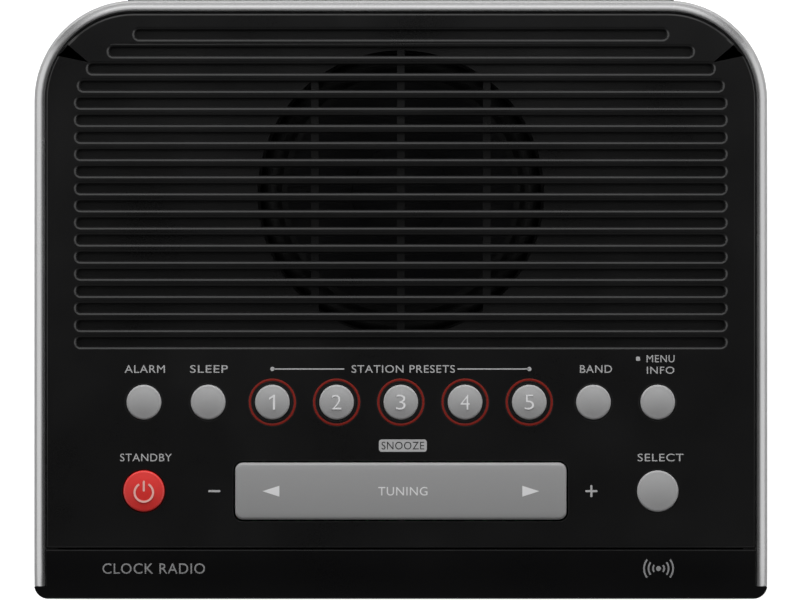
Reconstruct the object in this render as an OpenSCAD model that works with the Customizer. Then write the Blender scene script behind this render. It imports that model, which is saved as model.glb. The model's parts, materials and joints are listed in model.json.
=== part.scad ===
// Bedside table radio: a low box with the loudspeaker and the keys on top,
// a display in the front face, a volume wheel in the right side and sockets
// at the back. Millimetres, +Z up, front towards -Y, origin at the middle of
// the footprint on the surface that the feet stand on.

/* [Cabinet] */
// Overall width across the silver side band
body_w = 179; // [177:1:183]
// Overall depth from the front bezel to the rear socket plate
body_d = 146.8; // [145:0.2:149]
// Overall height from the feet to the key tops
body_h = 73; // [72:1:76]
// Plan radius of the two rear corners
rear_corner_r = 24.4; // [23:0.2:25]
// Plan radius of the two front corners
front_corner_r = 3.5; // [2.5:0.5:4]
// Thickness of the moulded cabinet walls
wall = 2.2; // [2:0.1:2.4]
// Width of the silver lip around the top panel
lip_w = 2.6; // [2.5:0.1:2.8]
// Radius of the rounding on the lip's outer edge
lip_round = 2.3; // [1.5:0.1:2.4]
// Gap between the lip and the top panel
panel_gap = 0.35; // [0.3:0.05:0.5]
// Depth of the front strip between the panel seam and the front face
strip_d = 12.3; // [11.5:0.1:12.5]
// Radius of the curve in which the front strip falls away
strip_r = 40; // [38:1:46]
// Height of the seam between the bottom cover and the band
base_top = 12; // [11.5:0.5:13]

/* [Grille] */
// Number of louvre slots
slot_count = 19; // [17:1:19]
// Distance between the slots
slot_pitch = 4.175; // [4.1:0.025:4.2]
// Width of each slot
slot_w = 1.95; // [1.8:0.05:2.3]
// Depth of the slots in the panel
slot_depth = 1.6; // [1.3:0.1:1.8]
// Half length of the longest slots
slot_half = 79.1; // [78:0.1:80]
// Radius of the opening over the loudspeaker
grille_r = 35; // [33:0.5:35]
// Distance between the ribs under the slots
rib_pitch = 21; // [20:0.5:22]

/* [Keys] */
// Distance between the keys in the upper row
key_pitch = 15.67; // [15.5:0.05:15.7]
// Diameter of the small keys
key_d = 8.5; // [8:0.1:8.8]
// Diameter of the standby and select keys
big_key_d = 10.1; // [9.6:0.1:10.4]
// Travel of a key
key_travel = 1; // [0.6:0.1:1.2]
// Distance from the middle of the cabinet forward to the upper row
row_1 = 25.3; // [25:0.1:25.6]
// Distance from the middle of the cabinet forward to the lower row
row_2 = 47; // [46.8:0.1:47.2]
// Length of the tuning rocker
rocker_l = 80.8; // [78:0.2:82]
// Width of the tuning rocker
rocker_w = 13.9; // [13.5:0.1:14]
// Outer diameter of the red rings around the preset keys
ring_d = 11.7; // [11.5:0.1:11.8]

/* [Display] */
// Width of the lens in the front bezel
lens_w = 133.6; // [130:0.2:135]
// Height of the lens
lens_h = 45.6; // [44:0.2:46]
// Height of the lens centre above the table
lens_z = 41.5; // [41:0.5:42]

/* [Volume wheel] */
// Radius of the wheel
wheel_r = 12; // [11.5:0.1:12.2]
// Thickness of the wheel
wheel_t = 5; // [4.5:0.1:5.2]
// Number of grip grooves around the wheel
wheel_teeth = 40; // [30:1:44]
// Height of the wheel's middle above the table
wheel_z = 42; // [41:0.5:43]
// Distance of the wheel's axis forward of the cabinet's middle
wheel_fore = 20; // [18:0.5:22]

/* [Hidden] */
$fn = 96;
tiny = 0.01;

half_w = body_w / 2;
front_y = -body_d / 2;
rear_y = body_d / 2;
rear_plate_proud = 0.6;
band_rear_y = rear_y - rear_plate_proud;
key_proud = 1.2;
panel_top = body_h - key_proud;
band_top = panel_top + 0.2;
panel_t = 2.4;
panel_under = panel_top - panel_t;
seam_y = front_y + strip_d;
corner_x = half_w - rear_corner_r;
corner_y = band_rear_y - rear_corner_r;
panel_half = half_w - lip_w - panel_gap;
join_gap = 0.15;

// Strip curve: its centre lies straight below the seam
curve_z = band_top - strip_r;
bezel_t = 3;
bezel_back_y = front_y + bezel_t;
band_front_y = bezel_back_y + join_gap;

// Ledge inside the band that carries the panel
ledge_top = panel_under - 0.05;
ledge_t = 1.8;
ledge_w = 3.2;

// Bottom cover
feet_h = 1.5;
foot_d = 14;
feet = [[-60, -50], [60, -50], [-60, 50], [60, 50]];
floor_t = 2.2;
floor_top = feet_h + floor_t;
cover_inset = 1;
band_z0 = base_top + 0.2;

// Self-tapping screws
screw_d = 2.9;
pilot_d = 3.0;
head_d = 5.6;
head_h = 1.9;

// Cabinet fixing points, rear pair and front pair
cabinet_posts = [[-76, 55], [76, 55], [-81, -55.5], [81, -55.5]];
post_split_z = 18;
panel_tabs = [[-80, 25], [80, 25], [-80, -47], [80, -47]];
tab_z = 60;
tab_t = 2;
bezel_tabs = [[-83, 25], [83, 25], [-83, 56], [83, 56]];
bezel_tab_y = -65;

// Keys
key_names = ["alarm", "sleep", "preset_1", "preset_2", "preset_3", "preset_4", "preset_5", "band", "menu"];
preset_xs = [for (i = [-2:2]) i * key_pitch];
row_1_xs = [for (i = [-4:4]) i * key_pitch];
big_key_xs = [-4 * key_pitch, 4 * key_pitch];
key_clear = 0.3;
flange_t = 1;
flange_lip = 1;
stem_d = 3.3;
stem_tip_z = 60.7;
board_top_z = 57.6;
board_t = 1.6;
switch_h = 3.5;
switch_side = 6;
switch_well_d = 3.6;
rocker_clear = 0.45;
rocker_pivot_z = 65.6;
rocker_pin_d = 2;
rocker_switch_x = 28;
lug_t = 2.4;
key_board_posts = [[-69.5, -17.5], [69.5, -17.5], [-70.5, -38], [70.5, -38]];

// Loudspeaker
speaker_y = 25.6;
speaker_z = 62.2;
flange_r = 38.5;
gasket_t = 1.2;
ear_r = 42;
cone_neck_r = 10.4;
cone_edge_r = 29;
pole_top = 14.4;

// Volume wheel
wheel_x = half_w - wheel_r - 0.3;
wheel_y = -wheel_fore;
scoop_d = 4;
scoop_r = 30;
shaft_d = 6;
shelf_z = wheel_z - 13;
shelf_t = 2.4;
pot_screws = [for (s = [-1, 1]) [wheel_x - 7, wheel_y + s * 8.6]];

// Main board and what stands on it
main_z = 8;
main_posts = [[-64, -38], [64, -38], [-64, 38], [64, 38]];
main_top = main_z + board_t;
header_h = 5.8;
key_header = [-26, -26];
lcd_header = [12, -38];
lead_reach = 2;
lead_header = [0, -20];

// Rear plate and sockets
plate_w = 134;
plate_z0 = 20;
plate_z1 = 64;
plate_t = 2;
rebate = plate_t - rear_plate_proud;
socket_z = 31.5;
dc_x = 48;
line_in_x = 26;
phones_x = 12;
gland_x = -46;
socket_board_z = 24.4;
socket_posts = [[2, 57], [56, 57]];
jack_r = 1.8;
jack_depth = 14;
plate_screws = [[-63, 24], [63, 24], [-63, 60], [63, 60]];

// Display module, measured back from the bezel
lcd_posts = [[-71, 22], [71, 22], [-71, 61], [71, 61]];
lcd_frame_y = bezel_back_y + 0.1;
lcd_frame_d = 6.7;
lcd_board_y = lcd_frame_y + lcd_frame_d + 0.05;
lcd_plug_y = lcd_board_y + board_t + 4;
lcd_plug_z = 30;

// ---------------------------------------------------------------- helpers

// Cabinet outline in plan, drawn in from the outer faces by inset
module outline(inset, front = front_y) {
    x = half_w - inset;
    yr = band_rear_y - inset;
    yf = front;
    r = rear_corner_r - inset;
    f = max(front_corner_r - inset, 0.5);
    translate([-x, yf + f]) square([2 * x, yr - r - yf - f]);
    translate([-x + r, yr - r]) square([2 * (x - r), r]);
    translate([-x + f, yf]) square([2 * (x - f), f]);
    for (s = [-1, 1]) {
        translate([s * (x - r), yr - r]) circle(r);
        translate([s * (x - f), yf + f]) circle(f);
    }
}

// Rectangle with round corners, centred
module round_rect(w, h, r) {
    square([w - 2 * r, h], center = true);
    square([w, h - 2 * r], center = true);
    for (sx = [-1, 1], sy = [-1, 1])
        translate([sx * (w / 2 - r), sy * (h / 2 - r)]) circle(r, $fn = 48);
}

// Upright flat piece: outline in X and Z, thickness along +Y from y
module upright(y, t) {
    translate([0, y + t, 0]) rotate([90, 0, 0]) linear_extrude(t) children();
}

// Cross-head screw: underside of the head at the origin, shank along +Z
module screw(length, head = head_d, thick = head_h) {
    difference() {
        union() {
            translate([0, 0, -thick]) cylinder(h = thick, d = head, $fn = 48);
            cylinder(h = length, d = screw_d, $fn = 32);
        }
        for (a = [0, 90])
            rotate([0, 0, a]) translate([-1.7, -0.35, -thick - tiny]) cube([3.4, 0.7, 0.9]);
    }
}

// Hollow post along +Z
module post(h, d = 7, hole = pilot_d) {
    difference() {
        cylinder(h = h, d = d, $fn = 48);
        translate([0, 0, -tiny]) cylinder(h = h + 2 * tiny, d = hole, $fn = 32);
    }
}

// Circuit board in plan with four corner holes of its posts
module board(x0, y0, w, d, z, posts, hole = 3.2) {
    difference() {
        translate([x0, y0, z]) cube([w, d, board_t]);
        for (p = posts)
            translate([p[0], p[1], z - 1]) cylinder(h = board_t + 2, d = hole, $fn = 32);
    }
}

// ------------------------------------------------------------ cabinet shells

module bottom_cover() {
    color("#161616") difference() {
        union() {
            translate([0, 0, feet_h]) linear_extrude(base_top - feet_h) outline(cover_inset, front_y + cover_inset);
            translate([0, 0, base_top - tiny]) linear_extrude(4 + tiny) outline(wall + 0.4, front_y + bezel_t + 0.4);
            for (p = cabinet_posts)
                translate([p[0], p[1], feet_h]) cylinder(h = post_split_z - feet_h, d = 9.6, $fn = 48);
        }
        // Hollow, left standing around the screw posts
        difference() {
            translate([0, 0, floor_top]) linear_extrude(20) outline(cover_inset + wall + 0.8, front_y + bezel_t + 1.8);
            for (p = cabinet_posts)
                translate([p[0], p[1], 0]) cylinder(h = 30, d = 9.6, $fn = 48);
        }
        for (p = cabinet_posts) translate([p[0], p[1], 0]) {
            cylinder(h = 14, d = 6.4, $fn = 48);
            cylinder(h = 30, d = 3.3, $fn = 32);
        }
        for (p = feet) translate([p[0], p[1], 0]) cylinder(h = feet_h + 1, d = foot_d + 0.4, $fn = 64);
        // Shallow seat of the rating label
        translate([-30, -62, 0]) cube([60, 26, feet_h + 0.3]);
        // Cooling slots
        for (sx = [-1, 1], i = [-3:3])
            translate([sx * 28, i * 7, 0]) {
                translate([-14, -1.25, 0]) cube([28, 2.5, 10]);
                for (e = [-1, 1]) translate([e * 14, 0, 0]) cylinder(h = 10, d = 2.5, $fn = 32);
            }
    }
    color("#161616") {
        for (p = main_posts)
            translate([p[0], p[1], floor_top - tiny]) post(main_z - floor_top + tiny);
        for (p = socket_posts)
            translate([p[0], p[1], floor_top - tiny]) post(socket_board_z - floor_top + tiny);
    }
}

// Section of the band: x runs in from the outer face, y is the height
function band_section(z0) = concat(
    [[0, z0]],
    [for (a = [0:15:90]) [-lip_round * (1 - cos(a)), band_top - lip_round * (1 - sin(a))]],
    [[-lip_w, band_top], [-lip_w, ledge_top], [-lip_w - ledge_w, ledge_top],
     [-lip_w - ledge_w, ledge_top - ledge_t],
     [-wall, ledge_top - ledge_t - ledge_w - lip_w + wall], [-wall, z0]]
);

// Straight arm, then the lip that follows the curve of the front strip
module band_arm() {
    lip_z0 = 61;
    sweep = asin((seam_y - band_front_y) / (lip_z0 - curve_z)) + 1;
    section = band_section(lip_z0);
    translate([half_w, corner_y, 0]) rotate([90, 0, 0])
        linear_extrude(corner_y - seam_y) polygon(band_section(band_z0));
    translate([half_w - wall, band_front_y, band_z0])
        cube([wall, seam_y - band_front_y + tiny, lip_z0 + 1 - band_z0]);
    intersection() {
        translate([0, seam_y, curve_z]) rotate([180, -90, 0])
            rotate_extrude(angle = sweep, $fn = 180)
                polygon([for (p = section) [p[1] - curve_z, half_w + p[0]]]);
        translate([0, band_front_y, 0]) cube([half_w, seam_y - band_front_y + 1, band_top + 1]);
        linear_extrude(body_h) outline(0);
    }
}

module band_corner() {
    translate([corner_x, corner_y, 0]) rotate_extrude(angle = 90, $fn = 180)
        translate([rear_corner_r, 0]) polygon(band_section(band_z0));
}

// Post inside the band, tied to the nearest wall
module band_post(p) {
    side = p[0] > 0 ? 1 : -1;
    rib = half_w - wall - abs(p[0]);
    translate([p[0], p[1], post_split_z + 0.2]) cylinder(h = 18, d = 8, $fn = 48);
    translate([side > 0 ? p[0] : p[0] - rib, p[1] - 1, post_split_z + 0.2]) cube([rib + tiny, 2, 18]);
}

// Seat of the volume wheel: a block inside the wall, scooped from outside
module wheel_seat() {
    translate([half_w - scoop_d - wall, wheel_y - 17, wheel_z - 17]) cube([scoop_d + wall - tiny, 34, 34]);
    translate([wheel_x - 11, wheel_y - 11.5, shelf_z]) cube([half_w - wall - wheel_x + 11 + tiny, 23, shelf_t]);
}

module wheel_cuts() {
    translate([half_w + scoop_r - scoop_d, wheel_y, wheel_z]) sphere(r = scoop_r, $fn = 128);
    translate([wheel_x, wheel_y, wheel_z - wheel_t / 2 - 0.5]) cylinder(h = wheel_t + 1, r = wheel_r + 0.6);
    for (p = pot_screws)
        translate([p[0], p[1], shelf_z - 1]) cylinder(h = shelf_t + 2, d = pilot_d, $fn = 32);
}

module side_band() {
    color("#b9bbbd") difference() {
        union() {
            for (m = [0, 1]) mirror([m, 0, 0]) {
                band_arm();
                band_corner();
            }
            translate([-corner_x, band_rear_y, 0]) rotate([90, 0, 90])
                linear_extrude(2 * corner_x) polygon(band_section(band_z0));
            for (p = cabinet_posts) band_post(p);
            for (p = panel_tabs)
                translate([p[0] > 0 ? p[0] - 5 : -half_w + wall - tiny, p[1] - 5, tab_z])
                    cube([half_w - wall - abs(p[0]) + 5 + tiny, 10, tab_t]);
            for (p = bezel_tabs)
                translate([p[0] > 0 ? p[0] - 4 : -half_w + wall - tiny, bezel_tab_y, p[1] - 4])
                    cube([half_w - wall - abs(p[0]) + 4 + tiny, 2, 8]);
            wheel_seat();
            // Thicker frame around the socket opening
            translate([-plate_w / 2 - 3, band_rear_y - wall - 2, plate_z0 - 3])
                cube([plate_w + 6, 2 + tiny, plate_z1 - plate_z0 + 5]);
        }
        wheel_cuts();
        for (p = cabinet_posts)
            translate([p[0], p[1], post_split_z]) cylinder(h = 15, d = pilot_d, $fn = 32);
        for (p = panel_tabs)
            translate([p[0], p[1], tab_z - 1]) cylinder(h = tab_t + 2, d = 3.3, $fn = 32);
        for (p = bezel_tabs)
            translate([p[0], bezel_tab_y - 1, p[1]]) rotate([-90, 0, 0]) cylinder(h = 4, d = 3.3, $fn = 32);
        // Rebate for the rear plate and the opening behind it
        translate([0, 0, (plate_z0 + plate_z1) / 2]) {
            upright(band_rear_y - rebate, 4)
                round_rect(plate_w + 0.3, plate_z1 - plate_z0 + 0.3, 3.15);
            upright(band_rear_y - wall - 3, 8) round_rect(plate_w - 16, plate_z1 - plate_z0 - 10, 3);
        }
        for (p = plate_screws)
            translate([p[0], band_rear_y - wall - 3, p[1]]) rotate([-90, 0, 0]) cylinder(h = 5, d = pilot_d, $fn = 32);
    }
}

// Half length of the louvre slot at depth y, shortened to follow the rear corners
corner_ease_r = slot_half - 64.85;
corner_ease_y = 47.5;
function slot_half_at(y) = slot_half - corner_ease_r + sqrt(max(0, pow(corner_ease_r, 2) - pow(max(0, y - corner_ease_y), 2)));
first_slot_y = 64.475;
function slot_y(i) = first_slot_y - i * slot_pitch;

module stadium(half, w) {
    translate([-half + w / 2, -w / 2]) square([2 * half - w, w]);
    for (s = [-1, 1]) translate([s * (half - w / 2), 0]) circle(d = w, $fn = 32);
}

module top_panel() {
    color("#1b1b1b") difference() {
        union() {
            translate([0, 0, panel_under]) linear_extrude(panel_t) difference() {
                outline(lip_w + panel_gap);
                translate([-body_w, -body_d]) square([2 * body_w, body_d + seam_y + join_gap]);
            }
            // Baffle ring that the loudspeaker seals against
            translate([0, speaker_y, speaker_z + gasket_t]) cylinder(h = panel_under - speaker_z - gasket_t + tiny, r = flange_r + 0.3);
            for (a = [45:90:315])
                translate([ear_r * cos(a), speaker_y + ear_r * sin(a), speaker_z])
                    cylinder(h = panel_under - speaker_z + tiny, d = 7, $fn = 48);
            for (p = panel_tabs)
                translate([p[0], p[1], tab_z + tab_t]) cylinder(h = panel_under - tab_z - tab_t + tiny, d = 7, $fn = 48);
            for (p = key_board_posts)
                translate([p[0], p[1], board_top_z]) cylinder(h = panel_under - board_top_z + tiny, d = 6, $fn = 48);
            // Lugs that hold the rocker's pin
            for (s = [-1, 1])
                translate([0, -row_2 + s * (rocker_w / 2 + rocker_clear + 0.4), 0]) rotate([90, 0, 0])
                    translate([0, 0, s > 0 ? -lug_t : 0]) linear_extrude(lug_t) {
                        translate([0, rocker_pivot_z]) circle(r = 3, $fn = 48);
                        translate([-3, rocker_pivot_z]) square([6, panel_under - rocker_pivot_z + tiny]);
                    }
        }
        for (i = [0:slot_count - 1])
            translate([0, slot_y(i), panel_top - slot_depth]) linear_extrude(slot_depth + 1)
                stadium(slot_half_at(slot_y(i)), slot_w);
        // Opening over the cone, crossed by three ribs
        difference() {
            translate([0, speaker_y, speaker_z]) cylinder(h = panel_top - slot_depth - speaker_z + tiny, r = grille_r);
            for (i = [-1:1])
                translate([i * rib_pitch - 0.9, speaker_y - grille_r, panel_under - 1.2])
                    cube([1.8, 2 * grille_r, panel_t]);
            // The bars between the slots stay whole
            for (i = [-1:slot_count - 1])
                translate([-slot_half, slot_y(i) - slot_pitch + slot_w / 2, panel_under])
                    cube([2 * slot_half, slot_pitch - slot_w, panel_t]);
        }
        for (x = row_1_xs)
            translate([x, -row_1, panel_under - 1]) cylinder(h = panel_t + 2, d = key_d + 2 * key_clear);
        for (x = big_key_xs)
            translate([x, -row_2, panel_under - 1]) cylinder(h = panel_t + 2, d = big_key_d + 2 * key_clear);
        for (x = preset_xs)
            translate([x, -row_1, panel_top - 0.8]) difference() {
                cylinder(h = 2, d = ring_d + 0.04);
                translate([0, 0, -1]) cylinder(h = 4, d = ring_d - 1.44);
            }
        translate([0, -row_2, panel_under - 1]) linear_extrude(panel_t + 2)
            round_rect(rocker_l + 2 * rocker_clear, rocker_w + 2 * rocker_clear, 2.3);
        translate([0, -row_2, rocker_pivot_z]) rotate([90, 0, 0])
            cylinder(h = 40, d = rocker_pin_d + 0.04, center = true, $fn = 48);
        for (a = [45:90:315])
            translate([ear_r * cos(a), speaker_y + ear_r * sin(a), speaker_z - 1]) cylinder(h = 7, d = pilot_d, $fn = 32);
        for (p = panel_tabs)
            translate([p[0], p[1], tab_z]) cylinder(h = 8.5, d = pilot_d, $fn = 32);
        for (p = key_board_posts)
            translate([p[0], p[1], board_top_z - 1]) cylinder(h = 9, d = pilot_d, $fn = 32);
    }
}

// Side profile of the bezel, drawn as [y, z]: strip curve, front fillet, front face
function bezel_profile() =
    let (r = strip_r - (band_top - panel_top),
         f = 1.2,
         cy = front_y + f,
         cz = curve_z + sqrt(pow(r - f, 2) - pow(seam_y - cy, 2)),
         turn = atan2(cz - curve_z, seam_y - cy),
         inner = r - panel_t,
         low = 1.2)
    concat(
        [for (i = [0:14]) let (a = 90 - (90 - turn) * i / 14)
            [seam_y - max(r * cos(a), join_gap), curve_z + r * sin(a)]],
        [for (i = [1:8]) let (a = turn * (1 - i / 8)) [cy - f * cos(a), cz + f * sin(a)]],
        [for (i = [0:4]) let (a = 90 * i / 4) [front_y + low * (1 - cos(a)), band_z0 + low * (1 - sin(a))]],
        [[bezel_back_y, band_z0]],
        [for (i = [0:6]) let (y = bezel_back_y + (seam_y - join_gap - bezel_back_y) * i / 6)
            [y, curve_z + sqrt(inner * inner - pow(seam_y - y, 2))]]
    );

module front_bezel() {
    color("#101012") difference() {
        union() {
            intersection() {
                translate([-half_w, 0, 0]) rotate([90, 0, 90]) linear_extrude(body_w) polygon(bezel_profile());
                linear_extrude(body_h) outline(0);
            }
            // Ledge under the front edge of the top panel
            translate([-82, seam_y - 3, panel_under - 2.6]) cube([164, 5.4, 2.5]);
            translate([-82, seam_y - 3, panel_under - 2.6]) cube([164, 2.4, 3.8]);
            for (p = bezel_tabs)
                translate([p[0], bezel_back_y - tiny, p[1]]) rotate([-90, 0, 0])
                    cylinder(h = bezel_tab_y - bezel_back_y - 0.1, d = 6, $fn = 48);
            for (p = lcd_posts)
                translate([p[0], bezel_back_y - tiny, p[1]]) rotate([-90, 0, 0])
                    cylinder(h = lcd_board_y - bezel_back_y - 0.05, d = 6, $fn = 48);
        }
        // The band's arms lie outside the strip
        for (s = [-1, 1])
            translate([s > 0 ? panel_half : -half_w - 1, bezel_back_y + tiny, 50])
                cube([half_w - panel_half + 1, 40, 40]);
        // Seat of the lens and the window behind it
        translate([0, 0, lens_z]) {
            upright(front_y - 1, 2.5) round_rect(lens_w + 0.3, lens_h + 0.3, 3.15);
            upright(front_y - 1, 8) round_rect(lens_w - 8, lens_h - 8, 2);
        }
        for (p = bezel_tabs)
            translate([p[0], bezel_back_y + 0.8, p[1]]) rotate([-90, 0, 0]) cylinder(h = 20, d = pilot_d, $fn = 32);
        for (p = lcd_posts)
            translate([p[0], bezel_back_y + 0.8, p[1]]) rotate([-90, 0, 0]) cylinder(h = 20, d = pilot_d, $fn = 32);
    }
}

module display_lens() {
    color([0.05, 0.05, 0.06, 0.6]) translate([0, 0, lens_z])
        upright(front_y + 0.05, 1.4) round_rect(lens_w, lens_h, 3);
}

module rear_plate() {
    color("#2a2a2b") difference() {
        translate([0, 0, (plate_z0 + plate_z1) / 2])
            upright(rear_y - plate_t, plate_t) round_rect(plate_w, plate_z1 - plate_z0, 3);
        for (p = plate_screws) translate([p[0], rear_y, p[1]]) rotate([90, 0, 0]) {
            translate([0, 0, -1]) cylinder(h = 5, d = 3.3, $fn = 32);
            translate([0, 0, -1]) cylinder(h = 2.3, d = 5.6, $fn = 48);
        }
        for (h = [[dc_x, 8.4], [line_in_x, 6.4], [phones_x, 6.4], [gland_x, 6.1]])
            translate([h[0], rear_y - plate_t - 1, socket_z]) rotate([-90, 0, 0]) cylinder(h = 5, d = h[1]);
        // Cooling slots
        for (i = [-9:9])
            translate([i * 5 - 1, rear_y - plate_t - 1, 44]) cube([2, 5, 10]);
    }
}

module rubber_feet() {
    color("#0c0c0c") for (p = feet) translate([p[0], p[1], 0]) cylinder(h = feet_h + 0.95, d = foot_d, $fn = 64);
}

// ------------------------------------------------------------------- keys

// Key: domed cap, retaining flange under the panel and the stem over its switch
module key(x, y, d) {
    dome = 0.55;
    dome_r = (pow(d / 2, 2) + dome * dome) / (2 * dome);
    translate([x, y, 0]) {
        intersection() {
            translate([0, 0, panel_under - 0.2]) cylinder(h = 10, d = d);
            translate([0, 0, body_h - dome_r]) sphere(r = dome_r, $fn = 180);
        }
        translate([0, 0, panel_under - 0.05 - flange_t]) cylinder(h = flange_t, d = d + 2 * key_clear + 2 * flange_lip);
        translate([0, 0, stem_tip_z]) cylinder(h = panel_under - 0.5 - stem_tip_z, d = stem_d, $fn = 48);
    }
}

module small_key(i) color("#a6a7a8") key(row_1_xs[i], -row_1, key_d);
module standby_key() color("#c4141c") key(big_key_xs[0], -row_2, big_key_d);
module select_key() color("#a6a7a8") key(big_key_xs[1], -row_2, big_key_d);

// Rocker: shallow hollow bar on a cross pin, with a stem over each of its switches
module tuning_rocker() {
    skirt_z = 67;
    color("#929394") difference() {
        translate([0, -row_2, 0]) {
            difference() {
                translate([0, 0, skirt_z]) linear_extrude(body_h - skirt_z) round_rect(rocker_l, rocker_w, 1.9);
                translate([-rocker_l / 2 + 1.6, -rocker_w / 2 + 1.6, skirt_z - 1])
                    cube([rocker_l - 3.2, rocker_w - 3.2, body_h - skirt_z - 1]);
            }
            rotate([90, 0, 0]) translate([0, 0, -rocker_w / 2]) linear_extrude(rocker_w) {
                translate([0, rocker_pivot_z]) circle(r = 2.6, $fn = 48);
                translate([-2.6, rocker_pivot_z]) square([5.2, body_h - 1.5 - rocker_pivot_z]);
            }
            for (s = [-1, 1]) {
                translate([s * rocker_switch_x, 0, stem_tip_z])
                    cylinder(h = body_h - 1.5 - stem_tip_z, d = stem_d - 0.5, $fn = 48);
                translate([s * rocker_switch_x - 0.6, -rocker_w / 2 + 1, skirt_z]) cube([1.2, rocker_w - 2, 5]);
            }
        }
        translate([0, -row_2, rocker_pivot_z]) rotate([90, 0, 0])
            cylinder(h = 40, d = rocker_pin_d + 0.1, center = true, $fn = 48);
    }
}

module rocker_pin() {
    color("silver") translate([0, -row_2, rocker_pivot_z]) rotate([90, 0, 0])
        cylinder(h = rocker_w + 2 * (rocker_clear + 0.4 + lug_t), d = rocker_pin_d, center = true, $fn = 48);
}

module preset_rings() {
    color("#8c1f16") for (x = preset_xs)
        translate([x, -row_1, panel_top - 0.78]) difference() {
            cylinder(h = 0.82, d = ring_d);
            translate([0, 0, -1]) cylinder(h = 3, d = ring_d - 1.4);
        }
}

module key_board() {
    color("#1d5c33") board(-73.5, -55.5, 147, 41, board_top_z - board_t, key_board_posts);
}

// Every tact switch, with the well that takes a key's stem
module key_switches() {
    places = concat([for (x = row_1_xs) [x, -row_1]], [for (x = big_key_xs) [x, -row_2]],
                    [for (s = [-1, 1]) [s * rocker_switch_x, -row_2]]);
    color("#303236") for (p = places)
        translate([p[0], p[1], board_top_z]) difference() {
            translate([-switch_side / 2, -switch_side / 2, 0]) cube([switch_side, switch_side, switch_h]);
            translate([0, 0, switch_h - 2]) cylinder(h = 3, d = switch_well_d + 0.6, $fn = 48);
        }
}

// Flat cable drawn along a path of [y, z] points at a given x
module ribbon(x, path, w = 16, t = 0.5) {
    last = len(path) - 1;
    translate([x - w / 2, 0, 0]) rotate([90, 0, 90]) linear_extrude(w)
        polygon(concat([for (p = path) p + [t / 2, 0]], [for (i = [last:-1:0]) path[i] - [t / 2, 0]]));
}

// One cable up to the key board in an easy S, one forward to the display
module ribbon_cables() {
    low = main_top + header_h + 0.02;
    high = board_top_z - board_t - 4;
    steps = 24;
    bow = 6;
    color("#d8d4c8") {
        ribbon(key_header[0], [for (i = [0:steps]) let (u = i / steps)
            [key_header[1] + bow * sin(360 * u), low + (high - low) * u]]);
        translate([key_header[0] - 9, key_header[1] - 2.5, high - tiny]) cube([18, 5, 3.98]);
        ribbon(lcd_header[0], [for (i = [0:steps / 2]) let (a = 90 * i / (steps / 2))
            [lcd_plug_y + (lcd_header[1] - lcd_plug_y) * sin(a), low + (lcd_plug_z - low) * cos(a)]]);
        translate([lcd_header[0] - 9, lcd_board_y + board_t + 0.02, lcd_plug_z - 2.5])
            cube([18, lcd_plug_y - lcd_board_y - board_t + 0.3, 5]);
    }
}

// -------------------------------------------------------------- loudspeaker

// Every part is turned about the cone's axis; z is 0 on top of the basket's flange
module on_speaker_axis() translate([0, speaker_y, speaker_z]) children();

module speaker_basket() {
    color("#3b3d40") on_speaker_axis() {
        difference() {
            rotate_extrude() polygon([[flange_r, 0], [34.5, 0], [33.6, -3], [25.7, -11.85], [25.7, -11.97],
                                      [24.9, -11.97], [24.5, -13.2], [11.5, -13.2],
                                      [11.5, -14.2], [25, -14.2], [34.5, -3.9], [35.6, -0.9], [flange_r, -0.9]]);
            for (a = [0:90:270])
                rotate([0, 0, a]) translate([22, -10, -12.6]) cube([18, 20, 8.6]);
        }
        for (a = [45:90:315]) difference() {
            ear(a);
            translate([ear_r * cos(a), ear_r * sin(a), -2]) cylinder(h = 4, d = 3.4, $fn = 32);
        }
    }
}

// Fixing ear: a round end and the web that joins it to the flange
module ear(a) {
    difference() {
        translate([0, 0, -0.9]) linear_extrude(0.9) {
            translate([ear_r * cos(a), ear_r * sin(a)]) circle(r = 4.2, $fn = 48);
            rotate(a) translate([flange_r - 3, -4.2]) square([ear_r - flange_r + 3, 8.4]);
        }
        translate([0, 0, -2]) cylinder(h = 4, r = flange_r - tiny);
    }
}

module speaker_gasket() {
    color("#101010") on_speaker_axis() difference() {
        translate([0, 0, 0.02]) cylinder(h = gasket_t - 0.04, r = flange_r - 0.2);
        translate([0, 0, -1]) cylinder(h = 4, r = 36.7);
    }
}

module speaker_front_plate() {
    color("#8d8f92") on_speaker_axis() translate([0, 0, -18.2]) difference() {
        cylinder(h = 3.95, r = 21);
        translate([0, 0, -1]) cylinder(h = 8, r = 11.1);
    }
}

module speaker_magnet() {
    color("#2b2c2e") on_speaker_axis() translate([0, 0, -28.2]) difference() {
        cylinder(h = 9.95, r = 22.5);
        translate([0, 0, -1]) cylinder(h = 14, r = 12.5);
    }
}

module speaker_yoke() {
    color("#8d8f92") on_speaker_axis() difference() {
        union() {
            translate([0, 0, -31.2]) cylinder(h = 2.95, r = 21);
            translate([0, 0, -31.2]) cylinder(h = 31.2 - pole_top, r = 9.7);
        }
        translate([0, 0, -40]) cylinder(h = 40, r = 3);
    }
}

// Curved cone wall: radius and height from neck to edge
function cone_z(r) = -9.8 + 8.6 * pow(max(0, r - cone_neck_r) / (cone_edge_r - cone_neck_r), 0.85);

module speaker_cone() {
    t = 0.5;
    rs = [for (i = [0:10]) cone_neck_r + (cone_edge_r - cone_neck_r) * i / 10];
    color("#24242a") on_speaker_axis() rotate_extrude()
        polygon(concat([for (r = rs) [r, cone_z(r)]], [for (i = [10:-1:0]) [rs[i], cone_z(rs[i]) - t]]));
}

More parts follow.
